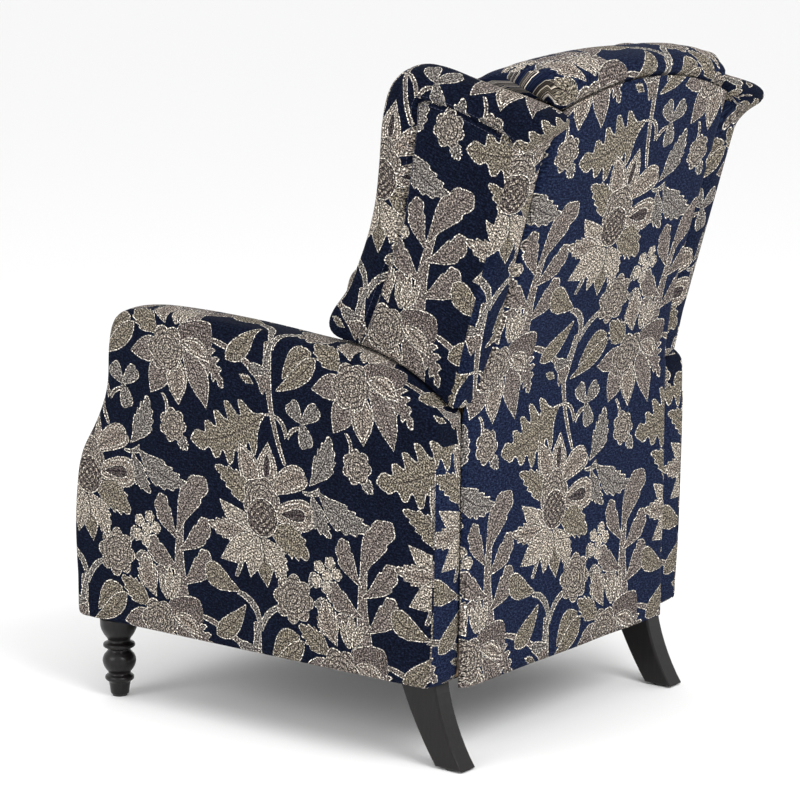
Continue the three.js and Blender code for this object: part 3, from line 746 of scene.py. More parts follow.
def pillow(name, outline, face, depth, to_world, round_face, round_back, panels, material,
           crown=0.004, crown_back=0.002, relief=None, seams=(), grid=0.009):
    """A padded slab: an outline in a plane, given depth, with rounded edges and crowned faces.

    face and depth are distances along the slab's own normal. relief(points) gives extra height on
    the front face. seams are lines that the front face's mesh follows. panels(points, part) gives
    the Panel for each group of faces, where part is "face", "edge" or "back".
    """
    loop = resample(np.array(outline), 0.007, closed=True)
    if area_of(loop) < 0:
        loop = loop[::-1]
    tangent = np.roll(loop, -1, axis=0) - np.roll(loop, 1, axis=0)
    tangent /= np.linalg.norm(tangent, axis=1)[:, None]
    normal = np.stack([tangent[:, 1], -tangent[:, 0]], axis=1)
    front = round_face(loop)
    rear = round_back(loop)
    thickness = abs(depth - face)
    n = len(loop)

    rings = []
    for phi in np.radians(np.linspace(0, 90, 7)):
        inset = front * (1 - math.sin(phi))
        rings.append((loop - normal * inset[:, None], face - front * (1 - math.cos(phi)), front * phi))
    reach = front * math.pi / 2
    flat = thickness - front - rear
    for share in (0.2, 0.4, 0.6, 0.8):
        bulge = 0.002 * math.sin(math.pi * share)
        rings.append((loop + normal * bulge, face - front - flat * share, reach + flat * share))
    for phi in np.radians(np.linspace(90, 0, 7)):
        inset = rear * (1 - math.sin(phi))
        rings.append((loop - normal * inset[:, None], depth + rear * (1 - math.cos(phi)),
                      reach + flat + rear * (math.pi / 2 - phi)))

    points, flat_points, owners, faces = [], [], [], []
    for ring, height, travelled in rings:
        heights = np.broadcast_to(height, n)
        points.append(np.column_stack([ring, heights]))
        start = loop - normal * front[:, None]
        flat_points.append(start + normal * np.broadcast_to(travelled, n)[:, None])
    for k in range(len(rings) - 1):
        for i in range(n):
            j = (i + 1) % n
            faces.append((k * n + i, k * n + j, (k + 1) * n + j, (k + 1) * n + i))
            owners.append("edge")

    def cap(ring_index, height, bulge, lines, extra, part):
        border = rings[ring_index][0]
        low, high = border.min(axis=0), border.max(axis=0)
        xs = np.arange(low[0] + grid / 2, high[0], grid)
        ys = np.arange(low[1] + grid / 2, high[1], grid)
        inner = np.array([(x + (grid / 4 if k % 2 else -grid / 4), y)
                          for k, y in enumerate(ys) for x in xs])
        closed = np.vstack([border, border[:1]])
        for line in lines:
            inner = inner[distance_to(inner, line) > 0.0105]
        for line in lines:
            way = np.gradient(line, axis=0)
            way /= np.linalg.norm(way, axis=1)[:, None]
            across = np.stack([way[:, 1], -way[:, 0]], axis=1)
            for step in (-0.008, -0.005, -0.0025, 0, 0.0025, 0.005, 0.008):
                inner = np.vstack([inner, line + across * step])
        inner = inner[inside_loop(inner, border)]
        inner = inner[distance_to(inner, closed) > 0.004]
        verts = [Vector(p) for p in np.vstack([border, inner])]
        rim = [(i, (i + 1) % n) for i in range(n)]
        out = geometry.delaunay_2d_cdt(verts, rim, [], 1, 1e-7)
        got = np.array([tuple(v) for v in out[0]])
        sources = out[3]
        away = distance_to(got, closed)
        lift = bulge * (1 - np.exp(-(away / 0.045) ** 1.5))
        lift = lift + (extra(got, away) if extra else 0)
        base = sum(len(p) for p in points)
        index = {}
        fresh, fresh_flat = [], []
        for i, source in enumerate(sources):
            on_rim = [s for s in source if s < n]
            if on_rim:
                index[i] = ring_index * n + on_rim[0]
            else:
                index[i] = base + len(fresh)
                fresh.append((got[i][0], got[i][1], height + lift[i]))
                fresh_flat.append(got[i])
        points.append(np.array(fresh))
        flat_points.append(np.array(fresh_flat))
        for triangle in out[2]:
            corners = [index[i] for i in triangle]
            if len(set(corners)) == 3:
                faces.append(tuple(corners))
                owners.append(part)

    cap(0, face, crown, seams, relief, "face")
    cap(len(rings) - 1, depth, -crown_back, (), None, "back")

    local = np.vstack(points)
    flats = np.vstack(flat_points)
    world = np.array([to_world(p) for p in local])
    obj = new_object(name, world, faces, [material])
    mesh = obj.data
    owners = np.array(owners)
    uv = np.zeros((len(mesh.loops), 3))
    corner = np.zeros(len(mesh.loops), int)
    mesh.loops.foreach_get("vertex_index", corner)
    for polygon in mesh.polygons:
        loops = list(polygon.loop_indices)
        verts = corner[loops]
        part = owners[polygon.index]
        source = local[verts][:, :2] if part == "back" else flats[verts]
        middle = source.mean(axis=0)
        uv[loops] = panels(middle, part).weave(source)
    set_weave(obj, uv)
    face_outward(obj)
    return obj


def area_of(loop):
    x, y = loop[:, 0], loop[:, 1]
    return 0.5 * float((x * np.roll(y, -1) - y * np.roll(x, -1)).sum())


def face_outward(obj):
    work = bmesh.new()
    work.from_mesh(obj.data)
    bmesh.ops.recalc_face_normals(work, faces=work.faces)
    work.to_mesh(obj.data)
    work.free()


def crumple(obj, size, seed, amount):
    """Small dents and swells, as cloth over padding has."""
    mesh = obj.data
    shift = Vector((seed * 3.7, seed * 1.3, seed * 2.1))
    normals = [v.normal.copy() for v in mesh.vertices]
    for vertex, direction in zip(mesh.vertices, normals):
        vertex.co += direction * (noise.noise(vertex.co / size + shift) * amount)
    mesh.update()


def tube(name, path, radius, material, sides=8, closed=True):
    """A round cord along a path, such as a welt."""
    pts = np.array(path, float)
    n = len(pts)
    if closed:
        way = np.roll(pts, -1, axis=0) - np.roll(pts, 1, axis=0)
    else:
        way = np.gradient(pts, axis=0)
    way /= np.linalg.norm(way, axis=1)[:, None]
    verts, faces = [], []
    reference = Vector((0.3, 0.2, 1.0)).normalized()
    for point, direction in zip(pts, way):
        direction = Vector(direction)
        across = direction.cross(reference).normalized()
        up = across.cross(direction).normalized()
        reference = up
        for k in range(sides):
            turn = 2 * math.pi * k / sides
            verts.append(Vector(point) + (across * math.cos(turn) + up * math.sin(turn)) * radius)
    rows = n if closed else n - 1
    for i in range(rows):
        j = (i + 1) % n
        for k in range(sides):
            m = (k + 1) % sides
            faces.append((i * sides + k, i * sides + m, j * sides + m, j * sides + k))
    if not closed:
        faces.append(tuple(range(sides))[::-1])
        faces.append(tuple((n - 1) * sides + k for k in range(sides)))
    obj = new_object(name, verts, faces, [material])
    face_outward(obj)
    steps = np.concatenate([[0], np.cumsum(np.linalg.norm(np.diff(pts, axis=0), axis=1))]) * 1000
    uv = np.zeros((len(obj.data.loops), 2))
    for loop in obj.data.loops:
        row, k = divmod(loop.vertex_index, sides)
        uv[loop.index] = (steps[row] + 60, 20 + k * 2000 * math.pi * radius / sides)
    set_weave(obj, uv)
    return obj


def surface_of(obj):
    bpy.context.view_layer.update()
    return bvhtree.BVHTree.FromObject(obj, bpy.context.evaluated_depsgraph_get())


def on_surface(tree, points, lift=0.0):
    """The nearest place on a surface for each point, raised by lift, with the way it faces."""
    found = []
    for point in points:
        at, direction, _, _ = tree.find_nearest(Vector(point))
        found.append((at + direction * lift, direction))
    return found


def stitches(name, tree, path, material, pitch=0.0062, length=0.0044, radius=0.00055):
    """A row of stitches lying on a surface along a path."""
    places = resample(np.array(path, float), pitch)
    found = on_surface(tree, places, radius * 0.5)
    verts, faces = [], []
    for (a, up), (b, _) in zip(found[:-1], found[1:]):
        run = b - a
        if run.length < 1e-5:
            continue
        direction = run.normalized()
        across = direction.cross(up).normalized()
        middle = (a + b) / 2
        profile = [(-0.5, 0.35), (-0.3, 0.95), (0.0, 1.0), (0.3, 0.95), (0.5, 0.35)]
        first = len(verts)
        for along, swell in profile:
            for k in range(6):
                turn = math.pi * k / 3
                ring = across * math.cos(turn) + up * math.sin(turn)
                verts.append(middle + direction * along * length + ring * radius * swell)
        for row in range(len(profile) - 1):
            for k in range(6):
                m = (k + 1) % 6
                faces.append((first + row * 6 + k, first + row * 6 + m,
                              first + (row + 1) * 6 + m, first + (row + 1) * 6 + k))
        faces.append(tuple(first + k for k in range(6))[::-1])
        faces.append(tuple(first + (len(profile) - 1) * 6 + k for k in range(6)))
    obj = new_object(name, verts, faces, [material])
    face_outward(obj)
    return obj


def inflate(obj, limit, pressure=4.0, voxel=0.006):
    """Fills a closed shape with padding: remeshed, blown up as cloth, and kept within limit."""
    remesh = obj.modifiers.new("remesh", "REMESH")
    remesh.mode = "VOXEL"
    remesh.voxel_size = voxel
    bake_modifiers(obj)
    rest = np.array([v.co for v in obj.data.vertices])
    cloth = obj.modifiers.new("cloth", "CLOTH")
    cloth.settings.use_pressure = True
    cloth.settings.uniform_pressure_force = pressure
    cloth.settings.quality = 5
    cloth.settings.tension_stiffness = 20
    cloth.settings.compression_stiffness = 10
    cloth.settings.bending_stiffness = 1.0
    cloth.settings.effector_weights.gravity = 0
    cloth.collision_settings.use_collision = False
    scene = bpy.context.scene
    for step in range(1, 21):
        scene.frame_set(step)
    bake_modifiers(obj)
    scene.frame_set(1)
    now = np.array([v.co for v in obj.data.vertices])
    move = now - rest
    size = np.linalg.norm(move, axis=1)
    share = limit * np.tanh(size / limit) / np.maximum(size, 1e-9)
    placed = rest + move * share[:, None]
    obj.data.vertices.foreach_set("co", placed.astype(np.float32).ravel())
    obj.data.update()


def bake_modifiers(obj):
    """Replaces the mesh by what its modifiers make of it."""
    bpy.context.view_layer.update()
    shown = obj.evaluated_get(bpy.context.evaluated_depsgraph_get())
    fresh = bpy.data.meshes.new_from_object(shown)
    obj.modifiers.clear()
    obj.data = fresh
    fresh.shade_smooth()


def weave_by_facing(obj, sides):
    """Pattern coordinates from the way each face looks: sides lists (direction, function)."""
    mesh = obj.data
    if "weave" in mesh.attributes:
        mesh.attributes.remove(mesh.attributes["weave"])
    uv = np.zeros((len(mesh.loops), 2))
    ways = [Vector(way).normalized() for way, _ in sides]
    for polygon in mesh.polygons:
        facing = [polygon.normal.dot(way) for way in ways]
        place = sides[int(np.argmax(facing))][1]
        for index in polygon.loop_indices:
            uv[index] = place(mesh.vertices[mesh.loops[index].vertex_index].co * 1000)
    set_weave(obj, uv)


def constant(radius):
    return lambda loop: np.full(len(loop), radius)


# ---- Arms ----
ARM_FRONT = [(-0.453, 0.132), (-0.460, 0.225), (-0.460, 0.310), (-0.446, 0.400), (-0.409, 0.464),
             (-0.385, 0.522), (-0.380, 0.588), (-0.366, 0.634), (-0.326, 0.651), (-0.230, 0.653),
             (-0.100, 0.647), (0.030, 0.6355)]
ARM_REAR = [(0.279, 0.500), (0.278, 0.400), (0.275, 0.240), (0.269, 0.132)]


def straight(*points):
    return resample(np.array(points, float), 0.006)


def arm_outline():
    parts = [spline(ARM_FRONT), arc(ARM_TOP_RADIUS, 83, 49), straight(*ARM_REAR),
             straight(ARM_REAR[-1], ARM_FRONT[0])[1:-1]]
    return soften(resample(np.vstack(parts), 0.006, closed=True), 4)


def arm_rounding(loop):
    """Generous over the top and front, tight at the rear corner and along the bottom."""
    y, z = loop[:, 0], loop[:, 1]
    radius = np.full(len(loop), 0.017)
    rear = np.clip((0.300 - y) / 0.06, 0, 1)
    low = np.clip((z - 0.120) / 0.08, 0, 1)
    return 0.005 + (radius - 0.005) * np.minimum(rear, low)


def across(side):
    """Slab coordinates to the chair's frame for a slab whose normal is X, on a side."""
    return lambda p: (side * p[2], p[0], p[1])


def make_arm(side, word, material):
    if side > 0:
        outer = Panel((-0.050, 0.365), degrees=3.1, flip=1)
    else:
        outer = Panel((-0.210, 0.420), degrees=0.0, flip=-1)
    inner = Panel((0.05, 0.455), shows=(40, 20), flip=-side)
    # The rear strip's navy ground is painted lighter, a painted sheen standing in for light on this
    # rear-facing cloth.
    rear_strip = Panel((0.300, 0.365), shows=(-74, -40), flip=side, painted_sheen=0.9)
    rear_heights = [z for _, z in ARM_REAR[::-1]]
    rear_places = [y for y, _ in ARM_REAR[::-1]]

    def panels(point, part):
        if part == "back":
            return inner
        behind = point[0] > np.interp(point[1], rear_heights, rear_places)
        return rear_strip if part == "edge" and behind and point[1] < 0.500 else outer

    def relief(points, away):
        swell = np.array([noise.noise(Vector((p[0] * 6, p[1] * 6, 2.0 + side))) for p in points])
        return swell * 0.0015 * np.clip(away / 0.03, 0, 1)

    arm = pillow(f"arm_cover_{word}", arm_outline(), 0.3415, 0.2685, across(side),
                 arm_rounding, lambda loop: 0.5 * arm_rounding(loop), panels, material,
                 crown=0.0035, crown_back=0.001, relief=relief)
    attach(arm, "base")
    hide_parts(f"arm_{word}")

    tree = surface_of(arm)
    corner = [(side * 0.3395, y + 0.001, z) for y, z in straight(*ARM_REAR)][2:]
    path = [tuple(at) for at, _ in on_surface(tree, corner, 0.0004)]
    seam = tube(f"arm_rear_seam_{word}", path, 0.0014, material, closed=False)
    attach(seam, "base")


# ---- Wings ----
WING_TOP = [(0.419, 0.962), (0.442, 0.975), (0.449, 0.988), (0.438, 1.000), (0.397, 1.014),
            (0.354, 1.025), (0.316, 1.033), (0.277, 1.043), (0.232, 1.055), (0.204, 1.057),
            (0.176, 1.049), (0.152, 1.026)]
WING_FRONT = [(0.142, 0.992), (0.138, 0.945), (0.134, 0.900), (0.128, 0.855), (0.116, 0.809),
              (0.098, 0.763), (0.074, 0.715), (0.053, 0.688), (0.041, 0.664), (0.047, 0.646)]
BORDER_SEAM = [(0.108, 0.640), (0.117, 0.658), (0.145, 0.721), (0.183, 0.814), (0.198, 0.890),
               (0.211, 0.964), (0.213, 1.002), (0.228, 1.008), (0.275, 0.999), (0.330, 0.981),
               (0.378, 0.962), (0.404, 0.940)]


def wing_outline():
    rear = straight((0.2855, 0.555), (back_rear(0.935) + 0.002, 0.935))
    parts = [arc(WING_RADIUS, 86.5, 49.5), rear, spline([(0.4005, 0.940), *WING_TOP, *WING_FRONT])]
    return soften(resample(np.vstack(parts), 0.006, closed=True), 3)


def wing_rounding(loop):
    """Fullest on the rolled top, full down the front, tighter along the underside."""
    y, z = loop[:, 0], loop[:, 1]
    underside = np.hypot(y - PIVOT[0], z - PIVOT[1]) - WING_RADIUS
    ear = np.clip(np.hypot(y - 0.440, z - 0.985) / 0.06, 0.4, 1)
    top = np.clip((z - 0.96) / 0.06, 0, 1)
    return (0.006 + 0.012 * np.clip(underside / 0.08, 0, 1) + 0.009 * top) * ear


def wing_inner_rounding(loop):
    return 0.017 + 0.010 * np.clip((loop[:, 1] - 0.96) / 0.06, 0, 1)


def make_wing(side, word, material, thread):
    seam = spline(BORDER_SEAM, 0.004)
    # The rear strips get painted sheen: their navy ground is painted lighter, standing in for light
    # catching rear-facing cloth.
    if side > 0:
        field = Panel((0.2425, 0.8117), shows=(-171, -58), degrees=18)
        border = Panel((0.152, 0.900), degrees=10)
        strip = Panel((0.392, 0.890), degrees=16, painted_sheen=0.5)
    else:
        field = Panel((0.262, 0.800), shows=(30, 40), degrees=-16, flip=-1)
        border = Panel((0.170, 0.930), shows=(-160, 60), degrees=-10, flip=-1)
        strip = Panel((0.380, 0.800), shows=(90, 150), degrees=-16, flip=-1, painted_sheen=0.5)
    inner = Panel((0.24, 0.83), shows=(-40, 60), degrees=16 * side, flip=-side)

    def in_border(point):
        front = np.interp(point[1], [p[1] for p in BORDER_SEAM[:7]], [p[0] for p in BORDER_SEAM[:7]])
        top = np.interp(point[0], [p[0] for p in BORDER_SEAM[6:]], [p[1] for p in BORDER_SEAM[6:]])
        return point[0] < front or (point[1] > top and point[0] > 0.2)

    def panels(point, part):
        if part == "back":
            return inner
        if in_border(point):
            return border
        rear = back_rear(point[1]) - point[0]
        return strip if rear < 0.012 else field

    def relief(points, away):
        gap = distance_to(points, seam)
        groove = -0.0065 * np.exp(-(gap / 0.0036) ** 2)
        puff = np.array([0.0045 if in_border(p) else 0.0 for p in points])
        swell = puff * np.clip(gap / 0.018, 0, 1)
        field_swell = np.array([noise.noise(Vector((p[0] * 9, p[1] * 9, 5.0 + side))) for p in points])
        edge = np.clip(away / 0.02, 0, 1)
        return (groove + swell) * edge + field_swell * 0.0015 * edge

    wing = pillow(f"wing_cover_{word}", wing_outline(), 0.300, 0.2285, across(side),
                  wing_rounding, wing_inner_rounding, panels, material, crown=0.003, crown_back=0.001,
                  relief=relief, seams=[seam])
    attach(wing, "backrest")
    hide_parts(f"wing_{word}")

    tree = surface_of(wing)
    way = np.gradient(seam, axis=0)
    way /= np.linalg.norm(way, axis=1)[:, None]
    sideways = np.stack([way[:, 1], -way[:, 0]], axis=1)
    for k, step in enumerate((-0.006, 0.006)):
        line = (seam + sideways * step)[3:-3]
        row = stitches(f"wing_stitches_{word}_{k + 1}", tree, [(side * 0.302, y, z) for y, z in line],
                       thread)
        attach(row, "backrest")


# ---- Outside back: one sheet from the crest seam to the bottom edge ----
SHEET_BOTTOM = 0.124
SHEET_STEP = 0.008


def sheet_top(x):
    return 1.034 - 0.029 * (x / 0.200) ** 2


def sheet_half_width(z):
    return float(np.interp(z, [0.12, 0.50, 0.545, 0.58, 0.66, 0.74, 1.04],
                           [0.278, 0.278, 0.277, 0.264, 0.242, 0.2355, 0.2345]))


# How far the cloth's long edges turn in towards the frame, from the bottom up.
TUCK_HEIGHTS = [0.13, 0.24, 0.40, 0.545, 0.62]
TUCK_DEPTHS = [0.011, 0.008, 0.006, 0.0055, 0.0105]


def make_back_sheet(material):
    rows = int((1.034 - SHEET_BOTTOM) / SHEET_STEP)
    columns = 64
    verts, uvs = [], []
    # The outside back's navy ground is painted lighter, a painted sheen standing in for light on this
    # rear-facing sheet.
    panel = Panel((-0.008, 0.816), degrees=4.5, painted_sheen=0.85)
    for j in range(rows + 1):
        down = j / rows
        for i in range(columns + 1):
            share = -1 + 2 * i / columns
            x0 = share * 0.240
            z = sheet_top(x0) + (SHEET_BOTTOM - sheet_top(x0)) * down
            half = sheet_half_width(z)
            x = share * half
            lean = back_rear(z) if z > KINK[1] else BASE_REAR
            blend = np.clip((z - KINK[1] + 0.03) / 0.06, 0, 1)
            y = BASE_REAR + (max(lean, BASE_REAR) - BASE_REAR) * blend + 0.0035 + 0.003 * blend
            tuck = max(0.0, abs(share) - 0.95) / 0.05
            y -= np.interp(z, TUCK_HEIGHTS, TUCK_DEPTHS) * tuck ** 2
            swell = 0.004 * (1 - share ** 4) * np.clip((z - 0.56) / 0.1, 0, 1)
            swell *= np.clip((sheet_top(x0) - z) / 0.05, 0, 1)
            ripple = 0.0016 * noise.noise(Vector((x * 7, z * 5, 3.0)))
            hem = np.clip((0.5 - z) / 0.3, 0, 1)
            ripple += 0.002 * noise.noise(Vector((x * 14, z * 2.5, 8.0))) * hem
            verts.append((x, y + swell + ripple, z))
            uvs.append((-x, z))
    faces = []
    width = columns + 1
    for j in range(rows):
        for i in range(columns):
            a = j * width + i
            faces.append((a, a + 1, a + width + 1, a + width))
    sheet = new_object("outside_back_cover", verts, faces, [material])
    uv = panel.weave(np.array(uvs))
    corner = np.zeros(len(sheet.data.loops), int)
    sheet.data.loops.foreach_get("vertex_index", corner)
    set_weave(sheet, uv[corner])
    facing = sum(p.normal.y for p in sheet.data.polygons)
    if facing < 0:
        sheet.data.flip_normals()
    thick = sheet.modifiers.new("thickness", "SOLIDIFY")
    thick.thickness = 0.0022
    thick.offset = -1
    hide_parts("outside_back_panel", "rear_skirt")
    return sheet


# ---- Crest: the roll along the top of the back ----
CREST_FOOT = 1.010
CREST = [(0.414, 1.010), (0.420, 1.028), (0.4225, 1.034), (0.431, 1.044), (0.427, 1.060),
         (0.405, 1.071), (0.362, 1.0775), (0.312, 1.068), (0.270, 1.053), (0.247, 1.034),
         (0.250, 1.010)]


def make_crest(material):
    """A stuffed roll that falls away to the wings, gathered where it meets them."""
    loop = soften(resample(np.vstack([spline(CREST), straight(CREST[-1], CREST[0])[1:-1]]), 0.005,
                           closed=True), 2)
    half_length = 0.2272
    middle = np.array([0.335, 1.030])
    stations = half_length * np.sin(np.linspace(-math.pi / 2, math.pi / 2, 81))
    verts, uvs = [], []
    travelled = np.concatenate([[0], np.cumsum(np.linalg.norm(np.diff(loop, axis=0), axis=1))])
    n = len(loop)
    for x in stations:
        high = 1 - 0.32 * (abs(x) / half_length) ** 3
        drop = 1.034 - sheet_top(x)
        gather = math.exp(-(half_length - abs(x)) / 0.040)
        end = max(0.0, (abs(x) - 0.203) / 0.0242)
        shrink = 1 - 0.15 * end ** 3
        for k, (y, z) in enumerate(loop):
            scaled = CREST_FOOT + (z - CREST_FOOT) * high
            rear = np.clip((y - 0.395) / 0.015, 0, 1) * np.clip((1.075 - z) / 0.02, 0, 1)
            lowered = rear * max(0.0, drop - (z - scaled))
            overhang = 0.004 * rear * np.clip((z - 1.034) / 0.006, 0, 1)
            y2 = y - BACK_SLOPE * (z - scaled + lowered) * rear + overhang
            z2 = scaled - lowered
            angle = math.atan2(z2 - middle[1], y2 - middle[0])
            out = Vector((y2 - middle[0], z2 - middle[1])).normalized()
            pleat = 0.0055 * gather * (abs(math.sin(angle * 8 + x * 20)) - 0.64)
            dent = 0.0018 * noise.noise(Vector((x * 11, y * 11, z * 11)))
            push = dent + (pleat if z > 1.020 else 0.0)
            y3 = middle[0] + (y2 - middle[0]) * shrink + out.x * push
            z3 = middle[1] + (z2 - middle[1]) * shrink + out.y * push
            behind_frame = np.clip((y3 - 0.404) / 0.006, 0, 1)
            floor = CREST_FOOT - 0.0005 - 0.014 * behind_frame
            verts.append((x, y3, max(floor, z3)))
            # The third value is painted sheen: the navy ground of the roll is painted lighter, standing
            # in for light catching the rear-facing pile.
            uvs.append((-x * 1000 - 40, travelled[k] * 1000 + 210, 0.6))
    faces = []
    for i in range(len(stations) - 1):
        for k in range(n):
            m = (k + 1) % n
            faces.append((i * n + k, i * n + m, (i + 1) * n + m, (i + 1) * n + k))
    faces.append(tuple(range(n)))
    faces.append(tuple((len(stations) - 1) * n + k for k in range(n))[::-1])
    crest = new_object("crest_roll", verts, faces, [material])
    corner = np.zeros(len(crest.data.loops), int)
    crest.data.loops.foreach_get("vertex_index", corner)
    set_weave(crest, np.array(uvs)[corner])
    face_outward(crest)
    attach(crest, "backrest")
    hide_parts("crest_pad")


# ---- Inside back, seat and footrest padding ----
BACK_PAD_SIDE = [(0.112, 0.484), (0.098, 0.530), (0.108, 0.610), (0.136, 0.710), (0.166, 0.820),
                 (0.198, 0.940), (0.236, 1.006)]


def make_back_cushion(material):
    rear = [(back_rear(z) - 0.063, z) for z in (1.006, 0.900, 0.750, 0.600, 0.484)]
    outline = soften(resample(np.vstack([spline(BACK_PAD_SIDE), straight(*rear),
                                         straight(rear[-1], BACK_PAD_SIDE[0])[1:-1]]), 0.006,
                              closed=True), 6)
    centre = outline.mean(axis=0)
    outline = centre + (outline - centre) * np.array([0.93, 0.985])
    plain = Panel((0, 0))
    cushion = pillow("back_cushion_cover", outline, 0.2235, -0.2235, lambda p: (p[2], p[0], p[1]),
                     constant(0.030), constant(0.030), lambda point, part: plain, material,
                     crown=0.001, crown_back=0.001)
    inflate(cushion, 0.016)
    for vertex in cushion.data.vertices:
        x, y, z = vertex.co
        front = np.interp(z, [p[1] for p in BACK_PAD_SIDE], [p[0] for p in BACK_PAD_SIDE])
        depth = np.clip(1 - (y - front) / 0.06, 0, 1)
        swell = (1 - (x / 0.23) ** 2) * math.sin(math.pi * np.clip((z - 0.48) / 0.53, 0, 1))
        vertex.co.y -= 0.010 * depth * max(0.0, swell)
        vertex.co.x = max(-0.2268, min(0.2268, x))
        vertex.co.z = max(0.4815, min(1.0085, vertex.co.z))
        vertex.co.y = min(vertex.co.y, back_rear(vertex.co.z) - 0.0605)
    crumple(cushion, 0.09, 4, 0.0022)
    weave_by_facing(cushion, [
        ((0, -1, 0.3), lambda p: (p.x + 12, p.z - 760)),
        ((0, 1, -0.3), lambda p: (-p.x, p.z)),
        ((1, 0, 0), lambda p: (p.y, p.z)),
        ((-1, 0, 0), lambda p: (-p.y, p.z)),
    ])
    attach(cushion, "backrest")
    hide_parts("back_cushion")


def make_apron(material):
    """The folded cloth band that closes the gap between the inside back and the seat."""
    outline = straight((-0.224, 0.398), (0.224, 0.398), (0.224, 0.4805), (-0.224, 0.4805),
                       (-0.224, 0.398))[:-1]
    cloth = Panel((0.0, 0.480), shows=(12, -280))
    apron = pillow("inside_back_apron", outline, 0.0645, 0.0583,
                   lambda p: (p[0], back_rear(p[1]) - p[2], p[1]), constant(0.0022), constant(0.0015),
                   lambda point, part: cloth, material, crown=0.0015, crown_back=0.0)
    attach(apron, "backrest")


def rounded_rectangle(x0, x1, y0, y1, pull, radius=0.03):
    """A cushion's plan: corners stand out and the sides pull in between them by pull."""
    points = []
    steps = 24
    for a, b in (((x0, y0), (x1, y0)), ((x1, y0), (x1, y1)), ((x1, y1), (x0, y1)), ((x0, y1), (x0, y0))):
        a, b = np.array(a), np.array(b)
        run = b - a
        inward = np.array([-run[1], run[0]]) / np.linalg.norm(run)
        for t in np.linspace(0, 1, steps, endpoint=False):
            points.append(a + run * t + inward * pull * math.sin(math.pi * t))
    loop = resample(np.array(points), 0.006, closed=True)
    return soften(loop, int(radius / 0.004))


def seat_rounding(loop):
    """Full along the front and sides, flat at the rear, which runs under the inside back."""
    return 0.010 + 0.016 * np.clip((0.120 - loop[:, 1]) / 0.07, 0, 1)


def make_seat(material):
    outline = rounded_rectangle(-0.256, 0.256, -0.440, 0.138, 0.004, 0.05)
    plain = Panel((0, 0))
    cushion = pillow("seat_cushion_cover", outline, 0.462, 0.3545, lambda p: (p[0], p[1], p[2]),
                     seat_rounding, constant(0.016), lambda point, part: plain, material,
                     crown=0.014, crown_back=0.0)
    inflate(cushion, 0.012)
    for vertex in cushion.data.vertices:
        vertex.co = [max(low, min(high, value))
                     for value, low, high in zip(vertex.co, SEAT_LOW, SEAT_HIGH)]
    crumple(cushion, 0.11, 7, 0.002)
    for vertex in cushion.data.vertices:
        vertex.co.z = max(SEAT_LOW[2], vertex.co.z)
    weave_by_facing(cushion, [
        ((0, 0, 1), lambda p: (p.x + 6, p.y + 250)),
        ((0, -1, 0), lambda p: (p.x + 6, p.z - 480 - 200)),
        ((0, 1, 0), lambda p: (-p.x, p.z)),
        ((1, 0, 0), lambda p: (p.y, p.z - 480)),
        ((-1, 0, 0), lambda p: (-p.y, p.z - 480)),
        ((0, 0, -1), lambda p: (-p.x, p.y)),
    ])
    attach(cushion, "seat")
    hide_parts("seat_cushion")
    tree = surface_of(cushion)
    for word, height in (("top", 0.456), ("bottom", 0.372)):
        loop = rounded_rectangle(-0.262, 0.262, -0.452, 0.142, 0.004, 0.05)
        path = [tuple(at) for at, _ in on_surface(tree, [(x, y, height) for x, y in loop], 0.0016)]
        welt = tube(f"seat_welt_{word}", soften(np.array(path), 2), 0.0038, material)
        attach(welt, "seat")


def make_footrest(material):
    outline = rounded_rectangle(-0.259, 0.259, 0.1385, 0.3445, 0.002, 0.03)
    front = Panel((0.010, 0.240), shows=(0, -10))
    pad = pillow("footrest_pad_cover", outline, 0.434, 0.4062, lambda p: (p[0], -p[2], p[1]),
                 constant(0.016), constant(0.004), lambda point, part: front, material,
                 crown=0.0085, crown_back=0.0)
    crumple(pad, 0.10, 9, 0.001)
    for vertex in pad.data.vertices:
        vertex.co.y = min(vertex.co.y, -0.4061)
    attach(pad, "footrest")
    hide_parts("footrest_pad")

    turn_in = straight((-0.252, 0.3865), (0.252, 0.3865), (0.252, 0.4120), (-0.252, 0.4120),
                       (-0.252, 0.3865))[:-1]
    cloth = Panel((0.0, 0.40), shows=(0, 100))
    lip = pillow("footrest_top_turn_in", turn_in, 0.3438, 0.3356, lambda p: (p[0], -p[1], p[2]),
                 constant(0.003), constant(0.001), lambda point, part: cloth, material,
                 crown=0.001, crown_back=0.0)
    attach(lip, "footrest")


# ---- Turned front legs ----
TURNING = [(0, 3), (13, 3), (15, 5), (16.5, 16), (18, 23), (20, 25.5), (23, 28), (23.8, 31), (22.8, 34),
           (18.5, 37.5), (19, 41), (24.5, 49), (27.5, 59), (25.5, 68), (20, 75), (17.8, 79), (21.5, 81),
           (25.6, 83.5), (26.2, 86), (25.2, 88.8), (20, 91.5), (18.4, 94), (20, 98), (25.6, 106),
           (29.8, 116), (30.6, 126), (30.8, 131.7), (0, 131.7)]


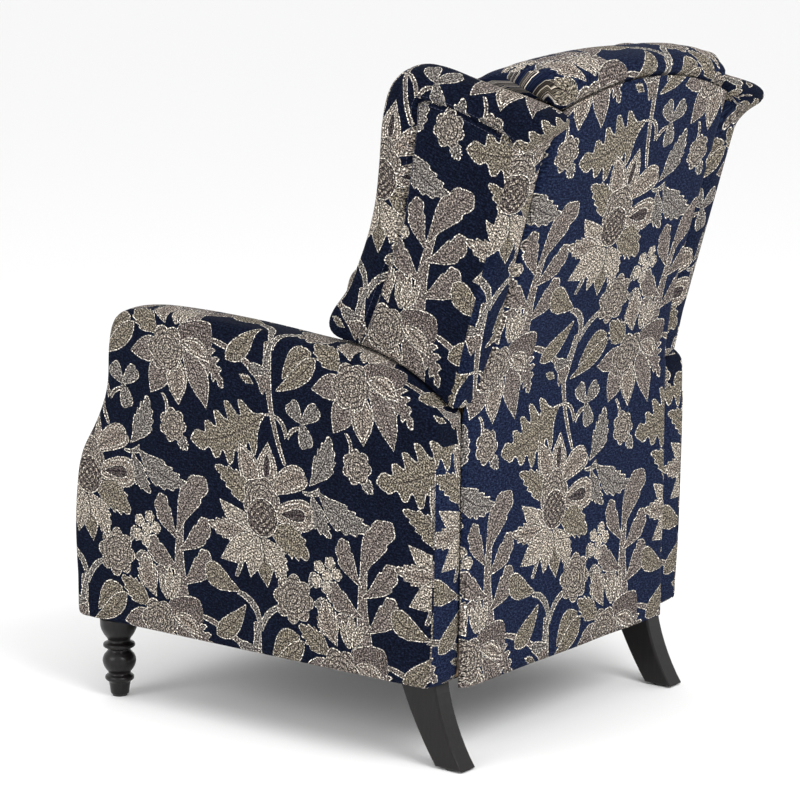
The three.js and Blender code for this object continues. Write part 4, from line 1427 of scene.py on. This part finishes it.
def make_front_leg(word, material):
    low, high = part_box(f"front_leg_{word}")
    centre = (low + high) / 2
    shaft = spline([(r * MM, z * MM) for r, z in TURNING[1:-1]], 0.0016)
    profile = np.vstack([[(0, TURNING[0][1] * MM)], shaft, [(0, TURNING[-1][1] * MM)]])
    sides = 56
    verts, faces = [(centre.x, centre.y, profile[0][1])], []
    rings = profile[1:-1]
    for radius, z in rings:
        for k in range(sides):
            turn = 2 * math.pi * k / sides
            verts.append((centre.x + radius * math.cos(turn), centre.y + radius * math.sin(turn), z))
    verts.append((centre.x, centre.y, profile[-1][1]))
    for k in range(sides):
        m = (k + 1) % sides
        faces.append((0, 1 + m, 1 + k))
        for row in range(len(rings) - 1):
            a = 1 + row * sides
            faces.append((a + k, a + m, a + sides + m, a + sides + k))
        top = 1 + (len(rings) - 1) * sides
        faces.append((top + k, top + m, len(verts) - 1))
    leg = new_object(f"turned_leg_{word}", verts, faces, [material])
    face_outward(leg)
    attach(leg, "base")
    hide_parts(f"front_leg_{word}")


# ---- Finishes on the parts that keep their shape ----
def dress_nodes(finishes):
    for name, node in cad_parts.items():
        for words, material in finishes:
            if any(word in name for word in words):
                node.data.materials.clear()
                node.data.materials.append(material)
                break


jacquard = make_jacquard()
lacquer = make_lacquer()
timber = make_timber()
steel = make_metal("mechanism_steel", (0.10, 0.105, 0.115), (0.17, 0.175, 0.185), 0.32, 0.55)
zinc = make_metal("bright_zinc", (0.50, 0.51, 0.53), (0.68, 0.69, 0.70), 0.22, 0.42)
lining = make_lining()
nylon = make_nylon()
thread = make_thread()

make_camera()
make_studio()
dress_nodes([
    (("pin", "springs"), zinc),
    (("glide",), nylon),
    (("dust_cover",), lining),
    (("plate", "bracket", "link", "tube"), steel),
    (("front_leg_block", "rear_leg_block", "rail", "post", "board", "panel"), timber),
    (("rear_leg", "front_leg"), lacquer),
])
for side, word in ((1, "left"), (-1, "right")):
    make_arm(side, word, jacquard)
    make_wing(side, word, jacquard, thread)
    make_front_leg(word, lacquer)
sheet = make_back_sheet(jacquard)
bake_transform(sheet)
make_crest(jacquard)
make_back_cushion(jacquard)
make_apron(jacquard)
make_seat(jacquard)
make_footrest(jacquard)
